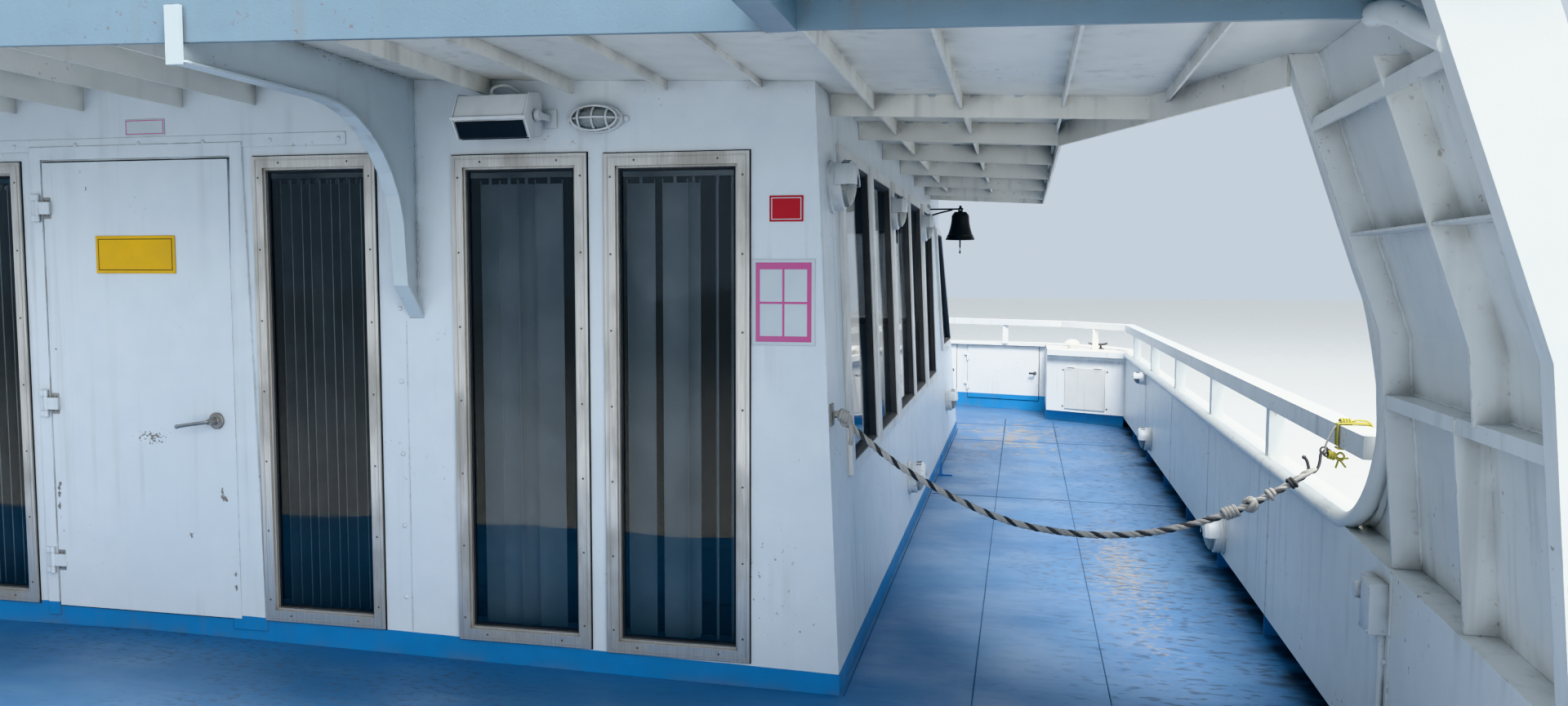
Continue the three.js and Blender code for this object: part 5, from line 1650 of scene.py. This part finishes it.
@dataclass(frozen=True)
class OverheadWelds:
    """Weld stitches under the upper deck and along the knees, and the slot in the ceiling."""

    across: tuple[float, ...] = (0.3, 1.05, 1.9, 2.77, 3.65, 4.5, 4.99)
    aft: tuple[float, ...] = (0.24, 0.58, 0.92, 1.61, 1.94, 2.31, 2.67)
    bar: float = 0.01
    knee: float = 1.28

    def build(self) -> None:
        """Makes the stitches and the slot on both sides."""
        pair("overhead_stitches", self.draw, "white_paint", KNEE)
        pair("ceiling_slot", self.slot, "white_paint", FITTING, BLACK_GLASS_AND_SHADE)

    def draw(self) -> Form:
        """Draws the stitches beside the flat bars and up the root of the knee."""
        places = []
        for y in self.across:
            places += [
                facing((1, 0, 0), (x, y - 0.004, ceiling_at(x) - 0.003)) for x in (3.1 + 0.16 * i for i in range(5))]
        for x in self.aft:
            places += [
                facing((0, 1, 0), (x - 0.008, -0.1 - 0.17 * i, ceiling_at(x) - 0.003)) for i in range(7)]
        places += [facing((0, 0, 1), (self.knee + 0.009, -0.004, 1.43 + 0.062 * i)) for i in range(13)]
        places += [
            facing((0, 1, 0), (self.knee + 0.009, -0.06 - 0.075 * i, ceiling_at(self.knee) - 0.003)) for i in range(15)]
        return Form().add(self.stitch(), *places)

    def stitch(self) -> Mesh:
        """A short weld that lies along z."""
        return turned([(0.0, -0.017), (0.0045, -0.011), (0.0055, 0.0), (0.004, 0.012), (0.0, 0.017)], 6)

    def slot(self) -> Form:
        """Draws the slot's rim and, just inside it, a near-black plate that paints the shade within the slot."""
        x, y = 3.626, 2.04
        z = ceiling_at(x)
        form = Form()
        rim = [(x - 0.082, y - 0.1, z), (x + 0.082, y - 0.1, z), (x + 0.082, y + 0.1, z), (x - 0.082, y + 0.1, z)]
        form.add(sweep([(-0.005, 0.0), (0.005, 0.0), (0.004, 0.006), (-0.004, 0.006)], rim, (0.0, 0.0, -1.0), True))
        # The near-black plate is painted shade in the slot's hollow.
        return form.dip(1).add(block((0.154, 0.19, 0.003), 0.001, 1), at(x, y, z - 0.0015))


@dataclass(frozen=True)
class FrontWindows:
    """Metal surrounds and seals of the four windows in the raked front."""

    foot: Flat = (6.88, 1.03)
    head: Flat = (5.657, 2.388)
    count: int = 4
    pitch: float = 1.3
    width: float = 1.18
    low: float = 0.13
    high: float = 1.25

    def build(self) -> None:
        """Makes the surrounds."""
        form = Form()
        up = Vector((0.0, self.head[0] - self.foot[0], self.head[1] - self.foot[1])).normalized()
        out = tuple(Vector((0.0, -up.z, up.y)) * -1.0)
        base = Vector((0.0, *self.foot))
        for i in range(self.count):
            middle = (i - (self.count - 1) / 2) * self.pitch
            left, right = middle - self.width / 2, middle + self.width / 2
            corners = ((left, self.low), (right, self.low), (right, self.high), (left, self.high))
            loop = [tuple(base + up * rise + Vector((x, 0.0, 0.0))) for x, rise in corners]
            form.dip(0).add(sweep([(-0.03, 0.0), (0.008, 0.0), (0.006, 0.007), (-0.026, 0.005)], loop, out, True))
            form.dip(1).add(sweep([(-0.004, -0.012), (0.022, -0.012), (0.018, 0.005), (0.0, 0.009)], loop, out, True))
        form.piece("front_window_seals", "structure", "aluminium", ALUMINIUM, RUBBER)


@dataclass(frozen=True)
class PlatingSeams:
    """Welded seams of the top deck, the shell and the bulwark's lining."""

    lining: tuple[float, ...] = (5.93, 4.27, 2.68, 1.11, -0.5, -1.75)
    shell: tuple[float, ...] = (-1.0, 0.8, 2.6, 4.4, 6.2, 7.6)
    top: tuple[float, ...] = (-0.6, 1.2, 3.0, 4.8)

    def build(self) -> None:
        """Makes the seams on both sides."""
        pair("lining_seams", self.draw_lining, "white_paint", BULWARK)
        pair("shell_seams", self.draw_shell, "white_paint", STEEL)
        pair("top_deck_seams", self.draw_top, "white_paint", OVERHEAD)

    def draw_lining(self) -> Form:
        """Draws the upright seams of the lining."""
        form, section = Form(), strip(0.009, 0.0028)
        for y in self.lining:
            form.add(sweep(section, [(4.66, y, 0.082), (4.66, y, 0.7)], (-1.0, 0.0, 0.0)))
        return form

    def draw_shell(self) -> Form:
        """Draws the seams outside the bulwark."""
        form, section, out = Form(), strip(0.011, 0.003), (1.0, 0.0, 0.0)
        for y in self.shell:
            form.add(sweep(section, [(4.8, y, -0.158), (4.8, y, 0.69)], out))
        return form.add(sweep(section, [(4.8, -2.19, 0.1), (4.8, 8.29, 0.1)], out))

    def draw_top(self) -> Form:
        """Draws the seams on the upper deck."""
        form, section, up = Form(), strip(0.012, 0.0035), (0.0, 0.0, 1.0)
        rise = 0.04
        for y in self.top:
            points = [(x, y, ceiling_at(x) + rise) for x in (0.0, 1.0, 2.0, 3.0, 3.74)]
            form.add(sweep(section, points, up))
        for x in (1.2, 2.4):
            form.add(sweep(section, [(x, y, ceiling_at(x) + rise) for y in (-1.19, 2.0, 5.6)], up))
        return form


def on_edge(start: Flat, end: Flat) -> Matrix:
    """A frame halfway along an edge of the plan, with x along it and z up."""
    turn = math.atan2(end[1] - start[1], end[0] - start[0])
    return at((start[0] + end[0]) / 2, (start[1] + end[1]) / 2, 0.0) @ Matrix.Rotation(turn, 4, "Z")


@dataclass(frozen=True)
class Hatchway:
    """A rectangle in an upright face of the bow, with the strip of seal that shows round it."""

    edge: tuple[Flat, Flat]
    half: float
    low: float
    high: float

    def loop(self) -> tuple[list[Point], Point]:
        """The rectangle's corners, and the direction out of its face."""
        place = on_edge(*self.edge)
        corners = ((-1, self.low), (1, self.low), (1, self.high), (-1, self.high))
        line = [tuple(place @ Vector((side * self.half, 0.0, z))) for side, z in corners]
        return line, tuple(place.to_3x3() @ Vector((0.0, -1.0, 0.0)))

    def seal(self) -> Mesh:
        """The strip of seal."""
        line, out = self.loop()
        return sweep([(0.001, -0.006), (0.014, -0.006), (0.013, 0.003), (0.004, 0.003)], line, out, True)

    def at_corners(self, margin: float) -> list[Matrix]:
        """Frames outside the rectangle's corners, with z out of the face."""
        place = on_edge(*self.edge)
        out = tuple(place.to_3x3() @ Vector((0.0, -1.0, 0.0)))
        levels = (self.low + margin, self.high - margin)
        return [
            facing(out, tuple(place @ Vector((side * (self.half + margin), -0.002, z))))
            for side in (-1, 1) for z in levels]


@dataclass(frozen=True)
class BowFittings:
    """Seals, latches and bolts of the cupboards and corner lockers, and the cleat on the locker."""

    top: float = 0.765
    cupboards: tuple[Hatchway, ...] = (
        Hatchway(((0.97, 9.7092), (1.94, 9.5867)), 0.43, 0.11, 0.74),
        Hatchway(((1.94, 9.5867), (2.91, 9.3825)), 0.43, 0.11, 0.74),
        Hatchway(((2.91, 9.3825), (3.88, 9.0966)), 0.43, 0.11, 0.74))
    locker: Hatchway = Hatchway(((3.88, 8.33), (4.6597, 7.925)), 0.225, 0.135, 0.575)

    def build(self) -> None:
        """Makes the fittings on both sides."""
        pair("hatch_seals", self.seals, "aluminium", RUBBER)
        pair("locker_bolts", self.bolts, "galvanised", SCREW)
        pair("locker_cleat", self.cleat, "galvanised", IRON)
        for side in Side:
            for number, cupboard in enumerate(self.cupboards, 1):
                latch = self.latch(cupboard).to(side)
                latch.piece(f"bow_latch_{side.word}_{number}", f"bow_door_{side.word}_{number}", "galvanised", IRON)

    def seals(self) -> Form:
        """Draws the seals of cupboards and locker."""
        form = Form()
        for hatchway in (*self.cupboards, self.locker):
            form.add(hatchway.seal())
        return form

    def latch(self, cupboard: Hatchway) -> Form:
        """Draws the grip over the plain handle, with its rose and the screws of the hinges."""
        place = on_edge(*cupboard.edge)
        form = Form()
        form.add(block((0.07, 0.016, 0.022), 0.005), place @ at(0.362, -0.051, 0.43))
        form.add(drum(0.02, 0.006, 0.018, 20, 0.001), place @ facing((0, -1, 0), (0.385, -0.011, 0.43)))
        screws = [
            place @ facing((0, -1, 0), (-0.414, -0.0125, z + dz)) for z in (0.236, 0.5825) for dz in (-0.016, 0.016)]
        return form.add(drum(0.0045, 0.003, 0.0035, 8), *screws)

    def bolts(self) -> Form:
        """Draws a bolt in each corner round the locker's hatch."""
        return Form().add(drum(0.009, 0.008, 0.007, 10, 0.0015), *self.locker.at_corners(0.024))

    def cleat(self) -> Form:
        """Draws a two-horned cleat on two feet."""
        x, y, z = 4.42, 8.5, self.top
        form = Form()
        horns = curved([
            (x - 0.1, y, z + 0.062), (x - 0.06, y, z + 0.05), (x, y, z + 0.047), (x + 0.06, y, z + 0.05), (x + 0.1, y, z + 0.062)])
        form.add(sweep([(0.012 * u, 0.009 * v) for u, v in disc(1.0, 10)], horns))
        form.add(drum(0.016, 0.046, 0.011, 14, 0.003), at(x - 0.032, y, z + 0.023), at(x + 0.032, y, z + 0.023))
        return form.add(block((0.13, 0.05, 0.006), 0.002), at(x, y, z + 0.003))


# Bulwark and wing


def deck_at(x: float) -> float:
    """The height of the main deck at a distance from the centreline."""
    return 0.036 - 0.012 * abs(x)


def ceiling_at(x: float) -> float:
    """The height of the underside of the upper deck at a distance from the centreline."""
    return 2.355 - 0.0375 * abs(x)


def wing_at(z: float) -> float:
    """Where the wing's plating is, to starboard, at a height."""
    line = ((0.6, 4.755), (0.683, 4.75), (1.385, 4.69), (2.128, 4.44), (2.3, 4.38))
    for (z0, x0), (z1, x1) in zip(line, line[1:]):
        if z <= z1:
            return x0 + (x1 - x0) * (z - z0) / (z1 - z0)
    return line[-1][1]


@dataclass(frozen=True)
class RolledEdge:
    """Half-round edge along the top of the bulwark that turns up the edge of the wing."""

    radius: float = 0.029
    corner: Point = (4.668, 0.08, 0.735)
    bend: Flat = (0.31, 0.315)

    def build(self) -> None:
        """Makes the edge on both sides."""
        pair("rolled_edge", self.draw, "white_paint", STEEL)

    def draw(self) -> Form:
        """Draws the edge from the bow end of the bulwark to the head of the wing."""
        x, y, z = self.corner
        route = [(x, 8.27, z), (x, 6.0, z), (x, 3.0, z), (x, 0.6, z), (x + 0.002, 0.25, z)]
        for i in range(9):
            turn = i / 8 * math.pi / 2
            route.append((x + 0.004 + 0.005 * i, y - self.bend[0] * math.sin(turn), z + self.bend[1] * (1 - math.cos(turn))))
        route += [(wing_at(z), y - self.bend[0], z) for z in (1.15, 1.385, 1.6, 1.9, 2.128, 2.235)]
        return Form().add(sweep(disc(self.radius, 14), curved(route, 4)))


@dataclass(frozen=True)
class WingDetail:
    """Hand-laid welds of the wing, its drain pipe, and the box for the deck socket."""

    uprights: tuple[tuple[float, float, float], ...] = (
        (-0.463, 0.72, 2.2), (-0.477, 0.72, 2.2), (-0.988, 0.72, 1.2), (-1.108, 1.22, 2.04), (-1.498, 0.7, 2.2))
    shelves: tuple[float, ...] = (1.214, 1.679, 2.009)
    pipe: float = 0.0283

    def build(self) -> None:
        """Makes the welds, the pipe and the socket box on both sides."""
        pair("wing_welds", self.welds, "white_paint", STEEL)
        pair("drain_pipe", self.drain, "white_paint", STEEL)
        pair("socket_box", self.socket, "white_paint", FITTING)

    def welds(self) -> Form:
        """Draws the welds along frames, stringers and column."""
        form, dice = Form(), random.Random(3)
        for y, low, high in self.uprights:
            levels = [low, *[z for z in (0.9, 1.2, 1.385, 1.7, 2.128) if low < z < high], high]
            form.add(bead([(wing_at(z) - 0.001, y, z) for z in levels], dice))
        for z in self.shelves:
            form.add(bead([(wing_at(z) - 0.001, y, z) for y in (-1.49, -1.0, -0.48)], dice))
        return form

    def drain(self) -> Form:
        """Draws the pipe from the fascia to the column."""
        line = [(4.36, -1.203, 2.135), (4.368, -1.31, 2.115), (4.39, -1.425, 2.058), (4.411, -1.522, 2.011)]
        return Form().add(sweep(disc(self.pipe, 16), curved(line)))

    def socket(self) -> Form:
        """Draws the socket box with its lid, glands and conduit."""
        form = Form()
        form.add(block((0.057, 0.088, 0.153), 0.006), at(4.6345, -0.4445, 0.585))
        form.add(block((0.036, 0.073, 0.117), 0.005), at(4.6455, -0.36, 0.6))
        form.add(drum(0.028, 0.03, 0.025, 20, 0.003), facing((-1, 0, 0), (4.615, -0.36, 0.61)))
        corners = [(-0.48, 0.52), (-0.409, 0.52), (-0.409, 0.65), (-0.48, 0.65)]
        form.add(drum(0.005, 0.008, 0.0045, 10, 0.001), *[facing((-1, 0, 0), (4.6055, y, z)) for y, z in corners])
        form.add(sweep(disc(0.0107, 12), [(4.652, -0.46, 0.515), (4.652, -0.46, 0.084)]))
        form.add(drum(0.0145, 0.024, 0.012, 12, 0.002), at(4.651, -0.46, 0.5))
        form.add(block((0.014, 0.05, 0.014), 0.002), *[at(4.656, -0.46, z) for z in (0.43, 0.2)])
        return form


def bead(points: Sequence[Point], dice: random.Random, size: float = 0.0055, pitch: float = 0.012) -> Mesh:
    """A hand-laid weld along a line, uneven in height and place.

    Args:
        points: the line.
        dice: the source of its unevenness.
        size: half its width.
        pitch: how far apart its steps are.

    Returns:
        The part.
    """
    line = [Vector(point) for point in points]
    route = []
    for a, b in zip(line, line[1:]):
        count = max(2, int((b - a).length / pitch))
        for i in range(count):
            shake = Vector([dice.uniform(-1, 1) * size * 0.35 for _ in range(3)])
            route.append(a.lerp(b, i / count) + shake)
    return sweep(disc(size, 6), [*route, line[-1]])


def main() -> None:
    """Builds the scene in order."""
    logging.basicConfig(level=logging.INFO, format="%(name)s: %(message)s")
    random.seed(7)
    Viewpoint().build()
    AftWallTrim().build()
    narrow = tuple((0.63 + 0.045 * i, 0.07, 58.0 + 9.0 * (i % 3)) for i in range(10))
    wide = (
        (1.536, 0.08, 2.0), (1.617, 0.08, -3.0), (1.69, 0.07, 42.0), (1.785, 0.112, 3.0), (1.9, 0.05, 112.0))
    third = (
        (2.165, 0.11, 2.0), (2.302, 0.096, 3.0), (2.376, 0.055, 48.0), (2.47, 0.05, 107.0), (2.53, 0.05, 105.0))
    AftWindow(1, 0.565, 1.113, 0.122, 2.025, narrow, lead=0.1).build()
    # Windows 2 and 3 take the lighter cloth, which paints the daylight on their flat slats.
    AftWindow(2, 1.443, 1.998, 0.108, 2.011, wide, LIT_BLIND).build()
    AftWindow(3, 2.066, 2.629, 0.101, 2.006, third, LIT_BLIND).build()
    BlindRail().build()
    DoorFittings().build()
    Floodlight().build()
    CageLight().build()
    for number, (y, z, radius) in enumerate(WALL_LAMPS, 1):
        EyelidLamp(f"wall_lamp_{number}", 2.967 - 0.045 * z, y, z, radius).build()
    for number, (y, z, radius) in enumerate(BULWARK_LAMPS, 1):
        EyelidLamp(f"bulwark_lamp_{number}", 4.663, y, z, radius, -1).build()
    SideWindows().build()
    Bell().build()
    DeckPin().build()
    DeckSeams().build()
    OverheadWelds().build()
    FrontWindows().build()
    PlatingSeams().build()
    BowFittings().build()
    RolledEdge().build()
    WingDetail().build()
    PassageRope().build()
    Studio().build()
    Coating().build()


if __name__ == "__main__":
    main()
